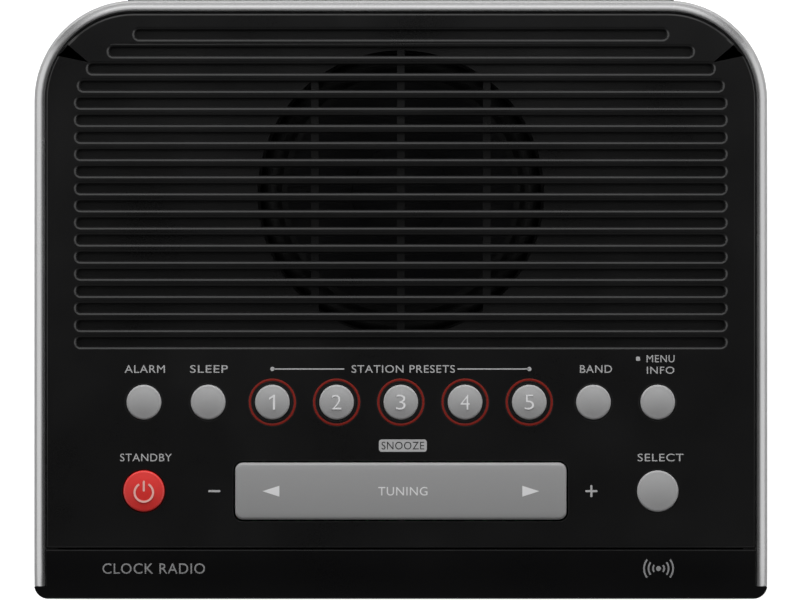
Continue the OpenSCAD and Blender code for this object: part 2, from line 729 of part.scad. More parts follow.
module dust_cap() {
    cap_r = 12;
    cap_h = 3;
    t = 0.35;
    base_z = cone_z(cap_r) + 0.1;
    sphere_r = (cap_r * cap_r + cap_h * cap_h) / (2 * cap_h);
    color("#2c2c30") on_speaker_axis() intersection() {
        difference() {
            translate([0, 0, base_z + cap_h - sphere_r]) sphere(r = sphere_r, $fn = 128);
            translate([0, 0, base_z + cap_h - sphere_r]) sphere(r = sphere_r - t, $fn = 128);
        }
        translate([0, 0, base_z]) cylinder(h = cap_h + 1, r = cap_r);
    }
}

module voice_coil() {
    color("#b06a35") on_speaker_axis() difference() {
        union() {
            translate([0, 0, -21]) cylinder(h = 11.3, r = cone_neck_r - 0.05);
            translate([0, 0, -21]) cylinder(h = 6, r = 10.75);
        }
        translate([0, 0, -30]) cylinder(h = 30, r = 10);
    }
}

module speaker_surround() {
    t = 0.45;
    mid_r = 31.85;
    roll_r = 2.4;
    inner_r = 27.8;
    glue = 0.03;
    function rim(a, r) = [mid_r - r * cos(a), -1.2 + 1.2 * (1 - cos(a)) / 2 + r * sin(a)];
    color("#161617") on_speaker_axis() rotate_extrude() polygon(concat(
        [[inner_r, cone_z(inner_r) + glue], [cone_edge_r, cone_z(cone_edge_r) + glue]],
        [for (a = [15:15:165]) rim(a, roll_r - t)],
        [[33.8, glue], [36.5, glue], [36.5, t], [34.4, t]],
        [for (a = [150:-15:30]) rim(a, roll_r)],
        [[29.2, cone_z(cone_edge_r) + t + 0.1], [inner_r, cone_z(inner_r) + t]]
    ));
}

module speaker_spider() {
    t = 0.35;
    r0 = cone_neck_r + 0.4;
    r1 = 24.9;
    rim_r = 25.5;
    waves = 4;
    steps = 32;
    function level(i) = -11.6 + 0.5 * sin(360 * waves * i / steps);
    color("#a9833f") on_speaker_axis() rotate_extrude()
        polygon(concat([for (i = [0:steps]) [r0 + (r1 - r0) * i / steps, level(i)]],
                       [[rim_r, level(steps)], [rim_r, level(steps) - t]],
                       [for (i = [steps:-1:0]) [r0 + (r1 - r0) * i / steps, level(i) - t]]));
}

module speaker_terminals() {
    color("#6e4a2a") on_speaker_axis() translate([-7, -38.2, -9.2]) difference() {
        cube([14, 1.2, 8.25]);
        for (x = [4, 10]) translate([x - 0.9, -1, 1.5]) cube([1.8, 4, 0.7]);
    }
    color("gold") on_speaker_axis() for (x = [-3, 3])
        translate([x - 0.88, -40.6, -7.68]) cube([1.76, 5, 0.66]);
}

// Two flat wires: forward off the tags, round one bend and down to their header
module speaker_leads() {
    t = 1.2;
    bend = 3;
    tag_y = speaker_y - 40.62;
    cy = tag_y - lead_reach;
    cz = speaker_z - 7.35 - bend;
    low = main_top + header_h + 0.02;
    function arc(r, from, to) = [for (i = [0:6]) let (a = from + (to - from) * i / 6) [cy + r * cos(a), cz + r * sin(a)]];
    for (x = [-3, 3]) color(x > 0 ? "#b3201c" : "#161616")
        translate([x - t / 2, 0, 0]) rotate([90, 0, 90]) linear_extrude(t) polygon(concat(
            [[tag_y, cz + bend + t / 2]], arc(bend + t / 2, 90, 180),
            [[cy - bend - t / 2, low], [cy - bend + t / 2, low]],
            arc(bend - t / 2, 180, 90), [[tag_y, cz + bend - t / 2]]
        ));
}

// ------------------------------------------------------------ volume control

module volume_wheel() {
    color("#202021") translate([wheel_x, wheel_y, wheel_z - wheel_t / 2]) difference() {
        cylinder(h = wheel_t, r = wheel_r);
        translate([0, 0, -1]) cylinder(h = wheel_t + 2, d = shaft_d + 0.04, $fn = 64);
        for (i = [0:wheel_teeth - 1])
            rotate([0, 0, 360 * i / wheel_teeth]) translate([wheel_r + 0.15, 0, -1]) cylinder(h = wheel_t + 2, r = 0.55, $fn = 16);
        translate([0, 0, wheel_t - 0.8]) difference() {
            cylinder(h = 2, r = wheel_r - 2);
            translate([0, 0, -1]) cylinder(h = 4, r = 5);
        }
    }
}

module volume_shaft() {
    color("silver") translate([wheel_x, wheel_y, wheel_z - wheel_t / 2 - 2.6])
        cylinder(h = wheel_t + 2.4, d = shaft_d, $fn = 64);
}

module volume_pot() {
    color("#4a5a50") translate([wheel_x, wheel_y, 0]) difference() {
        union() {
            translate([-5.5, -5.5, shelf_z + shelf_t + board_t]) cube([11, 11, 5]);
            translate([0, 0, shelf_z + shelf_t + board_t + 5 - tiny]) cylinder(h = 1 + tiny, d = 9, $fn = 64);
        }
        translate([0, 0, wheel_z - wheel_t / 2 - 3]) cylinder(h = 10, d = shaft_d + 0.1, $fn = 64);
    }
}

module volume_board() {
    color("#1d5c33") board(wheel_x - 10, wheel_y - 11.2, 16, 22.4, shelf_z + shelf_t, pot_screws);
}

// ------------------------------------------------------------ circuit boards

module main_board() {
    color("#1d5c33") board(-68, -42, 136, 84, main_z, main_posts);
}

// Screening can with its lid's raised edge
module tuner_module() {
    color("#b4b6b8") translate([-54, 2, main_top]) difference() {
        cube([34, 26, 5]);
        translate([1.5, 1.5, 4.4]) cube([31, 23, 2]);
    }
}

module amplifier_heatsink() {
    fins = 6;
    color("#55585c") translate([38, 8, main_top]) {
        cube([20, 8, 2]);
        for (i = [0:fins - 1]) translate([i * 20 / fins + 0.8, 0, 0]) cube([1.4, 8, 13]);
    }
}

module smoothing_capacitors() {
    color("#20242c") for (c = [[54, -16, 8, 13], [42, -22, 8, 13], [30, -16, 6.3, 11], [-56, -14, 6.3, 11]])
        translate([c[0], c[1], main_top]) cylinder(h = c[3], d = c[2], $fn = 48);
}

// Chip with its rows of leads
module control_chip() {
    color("#18191b") translate([4, 20, main_top]) {
        translate([-7, -7, 0.3]) cube([14, 14, 1.4]);
        for (a = [0:90:270], i = [-5:5])
            rotate([0, 0, a]) translate([6.9, i * 1.1 - 0.2, 0]) cube([1.4, 0.4, 0.7]);
    }
}

// Pin headers on the main board: centre and size of each
module board_connectors() {
    headers = [concat(key_header, [18, 5]), concat(lcd_header, [18, 5]), concat(lead_header, [11, 5]),
               [34, 36, 16, 5], [60, 2, 6, 9]];
    color("#e4e0d2") for (c = headers)
        translate([c[0] - c[2] / 2, c[1] - c[3] / 2, main_top]) cube([c[2], c[3], header_h]);
}

module lcd_glass() {
    color("#2c3a44") translate([0, 0, lens_z]) upright(lcd_frame_y + 0.95, 2.2) square([122.6, 40.6], center = true);
}

module lcd_frame() {
    color("#e8e8e6") translate([0, 0, lens_z]) difference() {
        upright(lcd_frame_y, lcd_frame_d) square([130, 47], center = true);
        upright(lcd_frame_y - 1, lcd_frame_d + 2) square([118, 36], center = true);
        upright(lcd_frame_y + 0.9, lcd_frame_d) square([123, 41], center = true);
    }
}

module backlight_diffuser() {
    color("#f2f4f5") translate([0, 0, lens_z]) upright(lcd_frame_y + 3.2, 3.4) square([122.6, 40.6], center = true);
}

module lcd_board() {
    color("#1d5c33") difference() {
        translate([0, 0, lens_z]) upright(lcd_board_y, board_t) round_rect(150, 47, 2);
        for (p = lcd_posts)
            translate([p[0], lcd_board_y - 1, p[1]]) rotate([-90, 0, 0]) cylinder(h = 5, d = 3.2, $fn = 32);
    }
}

// ------------------------------------------------------------------ sockets

module socket_board() {
    color("#1d5c33") board(-3, 50, 63, 18, socket_board_z, socket_posts);
}

module dc_socket() {
    base = socket_board_z + board_t;
    color("#141414") difference() {
        union() {
            translate([dc_x - 4.5, 56, base]) cube([9, 12, socket_z - base + 5]);
            translate([dc_x, 60, socket_z]) rotate([-90, 0, 0]) cylinder(h = rear_y - 60 - 0.4, d = 8);
        }
        translate([dc_x, 61, socket_z]) rotate([-90, 0, 0]) cylinder(h = 20, d = 5.7);
    }
    color("silver") translate([dc_x, 61 - tiny, socket_z]) rotate([-90, 0, 0]) cylinder(h = 10, d = 2, $fn = 48);
}

// Jack socket: the body stands on the board and the nose fills its hole in the plate
module jack_socket(x) {
    base = socket_board_z + board_t;
    difference() {
        union() {
            translate([x - 4, 56, base]) cube([8, 12, socket_z - base + 4]);
            translate([x, 60, socket_z]) rotate([-90, 0, 0]) cylinder(h = rear_y - 60 - 0.4, d = 6, $fn = 64);
        }
        translate([x, rear_y - 0.4 - jack_depth, socket_z]) rotate([-90, 0, 0]) cylinder(h = 20, r = jack_r, $fn = 64);
    }
}

module headphone_socket() color("#1f7a3d") jack_socket(phones_x);
module line_in_socket() color("#2b4f8f") jack_socket(line_in_x);

// Rubber bush where an aerial lead leaves the cabinet
module antenna_gland() {
    color("#0d0d0d") translate([gland_x, 0, socket_z]) rotate([-90, 0, 0]) difference() {
        union() {
            translate([0, 0, rear_y - plate_t - 1.6]) cylinder(h = 1.55, d = 8.6, $fn = 64);
            translate([0, 0, rear_y - plate_t - 1]) cylinder(h = plate_t + 0.8, d = 6, $fn = 64);
        }
        translate([0, 0, rear_y - 10]) cylinder(h = 12, r = 1.3, $fn = 48);
    }
}

// ------------------------------------------------------------------- screws

module cabinet_screws() {
    color("#8f9193") {
        for (p = cabinet_posts) translate([p[0], p[1], 14]) screw(16);
        for (p = panel_tabs) translate([p[0], p[1], tab_z]) screw(7.5);
    }
}

module bezel_and_rear_screws() {
    color("#3a3b3c") {
        for (p = bezel_tabs) translate([p[0], bezel_tab_y + 2, p[1]]) rotate([90, 0, 0]) screw(5);
        for (p = plate_screws) translate([p[0], rear_y - 1.28, p[1]]) rotate([90, 0, 0]) screw(4.5, 5.2, 1.1);
    }
}

module board_screws() {
    color("#8f9193") {
        for (p = key_board_posts) translate([p[0], p[1], board_top_z - board_t]) screw(8);
        for (p = main_posts) translate([p[0], p[1], main_top]) mirror([0, 0, 1]) screw(5);
        for (p = socket_posts) translate([p[0], p[1], socket_board_z + board_t]) mirror([0, 0, 1]) screw(8);
        for (p = pot_screws)
            translate([p[0], p[1], shelf_z + shelf_t + board_t]) mirror([0, 0, 1]) screw(3.8);
        for (p = lcd_posts) translate([p[0], lcd_board_y + board_t, p[1]]) rotate([90, 0, 0]) screw(6);
    }
}

module speaker_screws() {
    color("#8f9193") for (a = [45:90:315])
        translate([ear_r * cos(a), speaker_y + ear_r * sin(a), speaker_z - 0.92]) screw(6);
}

bottom_cover();
side_band();
top_panel();
front_bezel();
display_lens();
rear_plate();
rubber_feet();
small_key(0);  // alarm_key
small_key(1);  // sleep_key
small_key(2);  // preset_key_1
small_key(3);  // preset_key_2
small_key(4);  // preset_key_3
small_key(5);  // preset_key_4
small_key(6);  // preset_key_5
small_key(7);  // band_key
small_key(8);  // menu_key
standby_key();
select_key();
tuning_rocker();
rocker_pin();
preset_rings();
key_board();
key_switches();
ribbon_cables();
speaker_basket();
speaker_gasket();
speaker_front_plate();
speaker_magnet();
speaker_yoke();
speaker_cone();
dust_cap();
voice_coil();
speaker_surround();
speaker_spider();
speaker_terminals();
speaker_leads();
volume_wheel();
volume_shaft();
volume_pot();
volume_board();
main_board();
tuner_module();
amplifier_heatsink();
smoothing_capacitors();
control_chip();
board_connectors();
lcd_glass();
lcd_frame();
backlight_diffuser();
lcd_board();
socket_board();
dc_socket();
headphone_socket();
line_in_socket();
antenna_gland();
cabinet_screws();
bezel_and_rear_screws();
board_screws();
speaker_screws();
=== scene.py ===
"""Looks of a bedside table radio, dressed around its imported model.

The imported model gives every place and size. This script gives the surfaces: softened
mouldings, rounded keys, printed legends, a lit display and a finish for every node.
Sizes in the classes are in millimetres, and MM turns them into metres. On a copied
shell, edges that turn by more than CREASE degrees are sharp and by less than FLAT, flat.
"""

from __future__ import annotations

import json
import logging
import math
from collections.abc import Callable, Iterable, Sequence
from dataclasses import dataclass, field
from enum import Enum

import bmesh
import bpy
from mathutils import Matrix, Vector


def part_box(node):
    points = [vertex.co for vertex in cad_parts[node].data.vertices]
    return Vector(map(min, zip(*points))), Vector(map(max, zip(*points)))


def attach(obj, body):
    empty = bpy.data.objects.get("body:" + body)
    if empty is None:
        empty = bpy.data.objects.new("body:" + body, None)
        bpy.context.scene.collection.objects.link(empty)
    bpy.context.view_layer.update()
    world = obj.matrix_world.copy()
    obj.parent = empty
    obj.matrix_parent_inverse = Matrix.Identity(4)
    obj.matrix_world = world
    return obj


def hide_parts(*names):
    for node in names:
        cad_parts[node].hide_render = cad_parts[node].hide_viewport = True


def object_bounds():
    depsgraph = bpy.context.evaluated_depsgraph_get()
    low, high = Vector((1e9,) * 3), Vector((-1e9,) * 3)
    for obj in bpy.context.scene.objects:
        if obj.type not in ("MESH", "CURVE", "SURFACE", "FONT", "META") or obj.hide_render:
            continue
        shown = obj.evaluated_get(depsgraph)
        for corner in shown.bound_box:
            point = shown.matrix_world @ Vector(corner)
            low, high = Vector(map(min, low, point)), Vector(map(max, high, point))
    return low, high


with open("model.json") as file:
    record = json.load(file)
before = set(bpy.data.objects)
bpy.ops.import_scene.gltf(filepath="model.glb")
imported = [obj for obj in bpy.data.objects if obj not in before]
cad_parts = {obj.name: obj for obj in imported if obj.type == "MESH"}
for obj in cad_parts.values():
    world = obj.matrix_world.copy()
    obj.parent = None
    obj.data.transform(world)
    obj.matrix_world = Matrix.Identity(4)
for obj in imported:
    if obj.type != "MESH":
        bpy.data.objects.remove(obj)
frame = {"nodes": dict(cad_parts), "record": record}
CAD_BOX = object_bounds()

MM = 0.001
CABINET = "cabinet"
CREASE = 23.0
FLAT = 1.0
LOG = logging.getLogger("radio")
Point = tuple[float, float]


# ------------------------------------------------------------------ finishes


class Surface(Enum):
    """Kinds of surface that need a node layout of their own."""

    MOULDED = "moulded"
    BRUSHED = "brushed"
    WOVEN = "woven"
    TRACKED = "tracked"
    CLEAR = "clear"
    LIT = "lit"


@dataclass(frozen=True)
class Finish:
    """One finish: its colour and gloss, and how they change over the surface.

    Attributes:
        colour: linear base colour.
        roughness: mean roughness.
        surface: layout of the nodes.
        metallic: share of metal.
        specular: strength of the reflection at right angles.
        drift: share by which the colour wanders over the surface.
        grain_mm: size of the finest texture.
        relief: depth of that texture, as the strength of its bump.
        wear: how far corners have been rubbed to a lighter colour.
        dust: how much dust lies on what faces upwards.
        glow: strength of the light it gives off.
    """

    colour: tuple[float, float, float]
    roughness: float
    surface: Surface = Surface.MOULDED
    metallic: float = 0.0
    specular: float = 0.5
    drift: float = 0.18
    grain_mm: float = 0.28
    relief: float = 0.12
    wear: float = 0.0
    dust: float = 0.0
    glow: float = 0.0


FINISHES: dict[str, Finish] = {
    "panel_black": Finish((0.0026, 0.0026, 0.0028), 0.30, specular=0.9, relief=0.07, wear=0.03, dust=0.005),
    "cover_black": Finish((0.0085, 0.0085, 0.0088), 0.60, grain_mm=0.45, relief=0.35, wear=0.15),
    "silver_paint": Finish((0.66, 0.66, 0.665), 0.24, metallic=0.95, drift=0.05, grain_mm=0.09, relief=0.04),
    "gloss_black": Finish((0.0030, 0.0030, 0.0033), 0.30, specular=0.35, relief=0.03, wear=0.03, dust=0.006),
    "smoked_lens": Finish((0.05, 0.055, 0.06), 0.04, surface=Surface.CLEAR, relief=0.0),
    "rear_black": Finish((0.012, 0.012, 0.0125), 0.55, grain_mm=0.40, relief=0.30, wear=0.12),
    "rubber_black": Finish((0.010, 0.010, 0.010), 0.80, grain_mm=0.60, relief=0.35, dust=0.03),
    "key_grey": Finish((0.345, 0.345, 0.348), 0.40, drift=0.06, grain_mm=0.12, relief=0.05),
    "key_red": Finish((0.68, 0.026, 0.022), 0.40, specular=0.8, drift=0.06, grain_mm=0.12, relief=0.03),
    "rocker_grey": Finish((0.300, 0.300, 0.302), 0.40, surface=Surface.BRUSHED, drift=0.10, relief=0.10),
    # painted glow: the preset rings hold no lamp, yet ring_red gives off a faint light of its own that lifts
    # their red
    "ring_red": Finish((0.190, 0.012, 0.007), 0.35, drift=0.10, relief=0.02, glow=0.05),
    "steel": Finish((0.16, 0.16, 0.165), 0.45, surface=Surface.BRUSHED, metallic=1.0, relief=0.06),
    "screw_zinc": Finish((0.50, 0.50, 0.52), 0.34, metallic=1.0, grain_mm=0.10, wear=0.2),
    "screw_black": Finish((0.030, 0.030, 0.032), 0.38, metallic=0.8, grain_mm=0.10, wear=0.5),
    "board_green": Finish((0.012, 0.075, 0.030), 0.30, surface=Surface.TRACKED, relief=0.30),
    "switch_black": Finish((0.025, 0.025, 0.028), 0.50),
    "ribbon_white": Finish((0.66, 0.63, 0.56), 0.42, surface=Surface.BRUSHED, relief=0.30),
    "basket_paint": Finish((0.020, 0.020, 0.022), 0.50, metallic=0.3, relief=0.20, wear=0.3),
    "gasket_foam": Finish((0.010, 0.010, 0.010), 0.95, grain_mm=0.80, relief=0.80),
    "zinc_plate": Finish((0.42, 0.42, 0.38), 0.42, metallic=1.0, drift=0.25, relief=0.10),
    "ferrite": Finish((0.028, 0.028, 0.030), 0.62, grain_mm=0.50, relief=0.40, wear=0.2),
    "cone_paper": Finish((0.012, 0.012, 0.014), 0.78, grain_mm=0.55, relief=0.55, drift=0.35, dust=0.01),
    "coil_copper": Finish((0.52, 0.20, 0.07), 0.30, surface=Surface.BRUSHED, metallic=1.0, relief=0.5),
    "surround_rubber": Finish((0.010, 0.010, 0.010), 0.55, grain_mm=0.50, relief=0.15, dust=0.02),
    "spider_cloth": Finish((0.40, 0.23, 0.06), 0.80, surface=Surface.WOVEN, relief=0.8),
    "terminal_brown": Finish((0.13, 0.06, 0.025), 0.55, surface=Surface.WOVEN, relief=0.2),
    "wire_red_black": Finish((0.30, 0.012, 0.010), 0.38, relief=0.05),
    "wheel_black": Finish((0.016, 0.016, 0.017), 0.50, grain_mm=0.30, relief=0.25, wear=0.35),
    "pot_body": Finish((0.06, 0.09, 0.07), 0.45),
    "tin_can": Finish((0.60, 0.61, 0.62), 0.30, surface=Surface.BRUSHED, metallic=1.0, relief=0.10),
    "heatsink": Finish((0.050, 0.052, 0.056), 0.40, surface=Surface.BRUSHED, metallic=0.9, relief=0.2),
    "capacitor_sleeve": Finish((0.010, 0.014, 0.028), 0.22, relief=0.02),
    "chip_black": Finish((0.012, 0.012, 0.013), 0.55, grain_mm=0.20, relief=0.35),
    "header_ivory": Finish((0.70, 0.67, 0.55), 0.45),
    "lcd_glass": Finish((0.006, 0.008, 0.012), 0.10, relief=0.0, drift=0.05),
    "lcd_white": Finish((0.76, 0.76, 0.74), 0.55),
    "diffuser_white": Finish((0.85, 0.87, 0.88), 0.50, relief=0.05),
    "socket_black": Finish((0.010, 0.010, 0.010), 0.35),
    "socket_green": Finish((0.014, 0.18, 0.045), 0.32),
    "socket_blue": Finish((0.022, 0.07, 0.26), 0.32),
    "ink": Finish((0.42, 0.42, 0.425), 0.55, drift=0.10, grain_mm=0.10, relief=0.0),
    "key_ink": Finish((0.74, 0.74, 0.75), 0.50, drift=0.06, grain_mm=0.10, relief=0.0),
    "strip_ink": Finish((0.30, 0.30, 0.305), 0.55, drift=0.10, grain_mm=0.10, relief=0.0),
    "sign_ink": Finish((0.80, 0.44, 0.40), 0.45, drift=0.06, grain_mm=0.10, relief=0.0),
    "dark_ink": Finish((0.020, 0.020, 0.020), 0.55, drift=0.10, grain_mm=0.10, relief=0.0),
    "digit_glow": Finish((0.62, 0.80, 1.0), 0.40, surface=Surface.LIT, glow=2.2),
    "digit_off": Finish((0.012, 0.016, 0.022), 0.30, relief=0.0),
    "label_foil": Finish((0.42, 0.43, 0.44), 0.40, surface=Surface.BRUSHED, metallic=0.5, relief=0.05),
}


class Group:
    """A shader node group under construction."""

    def __init__(
        self, name: str, inputs: Sequence[tuple[str, str, float]], outputs: Sequence[tuple[str, str]]
    ) -> None:
        """Makes the group and its sockets.

        Args:
            name: name of the group.
            inputs: name, socket type and default of each input; a colour or vector takes no default.
            outputs: name and socket type of each output.
        """
        self.tree = bpy.data.node_groups.new(name, "ShaderNodeTree")
        for label, kind, value in inputs:
            socket = self.tree.interface.new_socket(
                name=label, in_out="INPUT", socket_type=f"NodeSocket{kind}"
            )
            if kind == "Float":
                socket.default_value = value
        for label, kind in outputs:
            self.tree.interface.new_socket(name=label, in_out="OUTPUT", socket_type=f"NodeSocket{kind}")
        self.entry = self.tree.nodes.new("NodeGroupInput")
        self.exit = self.tree.nodes.new("NodeGroupOutput")

    def node(self, kind: str, **settings: object) -> bpy.types.Node:
        """Adds a node and sets its properties.

        Args:
            kind: node type without the ShaderNode prefix.
            settings: properties of the node.

        Returns:
            The new node.
        """
        made = self.tree.nodes.new(f"ShaderNode{kind}")
        for key, value in settings.items():
            setattr(made, key, value)
        return made

    def feed(self, source: object, target: bpy.types.NodeSocket) -> None:
        """Links a socket to a target, or sets the target to a plain number."""
        if isinstance(source, bpy.types.NodeSocket):
            self.tree.links.new(source, target)
        else:
            target.default_value = source

    def math(self, operation: str, a: object, b: object = 0.0, clamp: bool = False) -> bpy.types.NodeSocket:
        """Adds a Math node.

        Args:
            operation: Blender's name of the operation.
            a: first operand, a socket or a number.
            b: second operand.
            clamp: whether the result is held between 0 and 1.

        Returns:
            The result's socket.
        """
        made = self.node("Math", operation=operation, use_clamp=clamp)
        self.feed(a, made.inputs[0])
        self.feed(b, made.inputs[1])
        return made.outputs[0]

    def noise(self, vector: object, scale: object, detail: float = 2.0) -> bpy.types.NodeSocket:
        """Adds a noise texture.

        Args:
            vector: socket with the place.
            scale: features per metre, a socket or a number.
            detail: octaves of finer noise.

        Returns:
            The socket with its value, about 0.5 on the mean.
        """
        made = self.node("TexNoise")
        made.inputs["Detail"].default_value = detail
        self.feed(vector, made.inputs["Vector"])
        self.feed(scale, made.inputs["Scale"])
        return made.outputs["Fac"]

    def mix(self, factor: object, a: object, b: object) -> bpy.types.NodeSocket:
        """Adds a colour mix and returns its result."""
        made = self.node("Mix", data_type="RGBA")
        self.feed(factor, made.inputs[0])
        self.feed(a, made.inputs[6])
        self.feed(b, made.inputs[7])
        return made.outputs[2]

    def give(self, label: str, source: bpy.types.NodeSocket) -> None:
        """Links a socket to the group's output of that name."""
        self.tree.links.new(source, self.exit.inputs[label])


class FinishLibrary:
    """Builds each material once, from shared node groups."""

    grain_floor = 40.0
    dust_colour = (0.30, 0.29, 0.27, 1.0)

    def __init__(self) -> None:
        """Builds the shared groups."""
        self.made: dict[str, bpy.types.Material] = {}
        self.groups = {
            "skin": self._skin_group(),
            "edge_rub": self._edge_rub_group(),
            "settled_dust": self._dust_group(),
            "brush_lines": self._brush_group(),
            "weave": self._weave_group(),
            "tracks": self._track_group(),
        }

    def _skin_group(self) -> bpy.types.NodeTree:
        """Moulded skin: colour drift, uneven gloss and spark-eroded grain."""
        group = Group(
            "skin",
            [("Vector", "Vector", 0), ("Colour", "Color", 0), ("Drift", "Float", 0.1),
             ("Roughness", "Float", 0.5), ("Grain", "Float", 3000.0)],
            [("Colour", "Color"), ("Roughness", "Float"), ("Height", "Float")],
        )
        place = group.entry.outputs
        broad = group.noise(place["Vector"], self.grain_floor, 3.0)
        fine = group.noise(place["Vector"], place["Grain"], 2.0)
        both = group.math("ADD", group.math("MULTIPLY", broad, 0.7), group.math("MULTIPLY", fine, 0.3))
        darker = group.node("Mix", data_type="RGBA", blend_type="MULTIPLY")
        darker.inputs[0].default_value = 1.0
        group.feed(place["Colour"], darker.inputs[6])
        darker.inputs[7].default_value = (0.35, 0.35, 0.35, 1.0)
        share = group.math("MULTIPLY", both, place["Drift"], clamp=True)
        group.give("Colour", group.mix(share, place["Colour"], darker.outputs[2]))
        swing = group.math("MULTIPLY", group.math("SUBTRACT", both, 0.5), 0.22)
        group.give("Roughness", group.math("ADD", place["Roughness"], swing, clamp=True))
        group.give("Height", fine)
        return group.tree

    def _edge_rub_group(self) -> bpy.types.NodeTree:
        """Corners rubbed lighter, where a rounded normal leaves the true one."""
        group = Group(
            "edge_rub",
            [("Vector", "Vector", 0), ("Colour", "Color", 0), ("Amount", "Float", 0.2)],
            [("Colour", "Color")],
        )
        place = group.entry.outputs
        rounded = group.node("Bevel", samples=4)
        rounded.inputs["Radius"].default_value = 0.5 * MM
        facing = group.node("VectorMath", operation="DOT_PRODUCT")
        group.feed(rounded.outputs[0], facing.inputs[0])
        group.feed(group.node("NewGeometry").outputs["Normal"], facing.inputs[1])
        corner = group.math("MULTIPLY", group.math("SUBTRACT", 1.0, facing.outputs["Value"]), 3.0, clamp=True)
        patchy = group.math("MULTIPLY", group.noise(place["Vector"], 220.0, 4.0), 1.3)
        mask = group.math("MULTIPLY", group.math("MULTIPLY", corner, patchy), place["Amount"], clamp=True)
        group.give("Colour", group.mix(mask, place["Colour"], (0.28, 0.28, 0.28, 1.0)))
        return group.tree

    def _dust_group(self) -> bpy.types.NodeTree:
        """Dust on what faces upwards, thicker in patches."""
        group = Group(
            "settled_dust",
            [("Vector", "Vector", 0), ("Colour", "Color", 0), ("Roughness", "Float", 0.5),
             ("Amount", "Float", 0.0)],
            [("Colour", "Color"), ("Roughness", "Float")],
        )
        place = group.entry.outputs
        parts = group.node("SeparateXYZ")
        group.feed(group.node("NewGeometry").outputs["Normal"], parts.inputs[0])
        up = group.math("POWER", group.math("MAXIMUM", parts.outputs["Z"], 0.0), 3.0)
        specks = group.math("POWER", group.noise(place["Vector"], 900.0, 5.0), 2.0)
        mask = group.math("MULTIPLY", group.math("MULTIPLY", up, specks), place["Amount"], clamp=True)
        group.give("Colour", group.mix(mask, place["Colour"], self.dust_colour))
        group.give("Roughness", group.math("ADD", place["Roughness"], mask, clamp=True))
        return group.tree

    def _brush_group(self) -> bpy.types.NodeTree:
        """Fine lines along X, as on brushed or drawn surfaces."""
        group = Group("brush_lines", [("Vector", "Vector", 0)], [("Height", "Float")])
        stretch = group.node("VectorMath", operation="MULTIPLY")
        group.feed(group.entry.outputs["Vector"], stretch.inputs[0])
        stretch.inputs[1].default_value = (0.03, 1.0, 1.0)
        group.give("Height", group.noise(stretch.outputs[0], 5200.0, 3.0))
        return group.tree

    def _weave_group(self) -> bpy.types.NodeTree:
        """Plain weave: two sets of threads at right angles."""
        group = Group("weave", [("Vector", "Vector", 0)], [("Height", "Float")])
        threads = []
        for direction in ("X", "Y"):
            wave = group.node("TexWave", wave_type="BANDS", bands_direction=direction)
            group.feed(group.entry.outputs["Vector"], wave.inputs["Vector"])
            wave.inputs["Scale"].default_value = 420.0
            wave.inputs["Distortion"].default_value = 0.6
            threads.append(wave.outputs["Fac"])
        group.give("Height", group.math("MAXIMUM", threads[0], threads[1]))
        return group.tree

    def _track_group(self) -> bpy.types.NodeTree:
        """Circuit tracks that show through the solder mask."""
        group = Group(
            "tracks",
            [("Vector", "Vector", 0), ("Colour", "Color", 0)],
            [("Colour", "Color"), ("Height", "Float")],
        )
        cells = group.node("TexVoronoi", distance="MANHATTAN", feature="DISTANCE_TO_EDGE")
        group.feed(group.entry.outputs["Vector"], cells.inputs["Vector"])
        cells.inputs["Scale"].default_value = 260.0
        line = group.math("LESS_THAN", cells.outputs["Distance"], 0.09)
        group.give("Colour", group.mix(line, group.entry.outputs["Colour"], (0.06, 0.22, 0.09, 1.0)))
        group.give("Height", line)
        return group.tree

    def material(self, name: str) -> bpy.types.Material:
        """Gives the material of a finish, building it the first time.

        Args:
            name: key in FINISHES.

        Returns:
            The material.
        """
        if name not in self.made:
            self.made[name] = self._build(name, FINISHES[name])
        return self.made[name]

    def _build(self, name: str, finish: Finish) -> bpy.types.Material:
        """Builds one material's nodes."""
        made = bpy.data.materials.new(name)
        made.use_nodes = True
        nodes, links = made.node_tree.nodes, made.node_tree.links
        shader = nodes["Principled BSDF"]
        shader.inputs["Metallic"].default_value = finish.metallic
        shader.inputs["Specular IOR Level"].default_value = finish.specular
        place = nodes.new("ShaderNodeTexCoord").outputs["Object"]

        def use(group: str, **values: object) -> bpy.types.Node:
            """Places a shared group and sets or links its inputs."""
            node = nodes.new("ShaderNodeGroup")
            node.node_tree = self.groups[group]
            links.new(place, node.inputs["Vector"])
            for label, value in values.items():
                if isinstance(value, bpy.types.NodeSocket):
                    links.new(value, node.inputs[label])
                else:
                    node.inputs[label].default_value = value
            return node

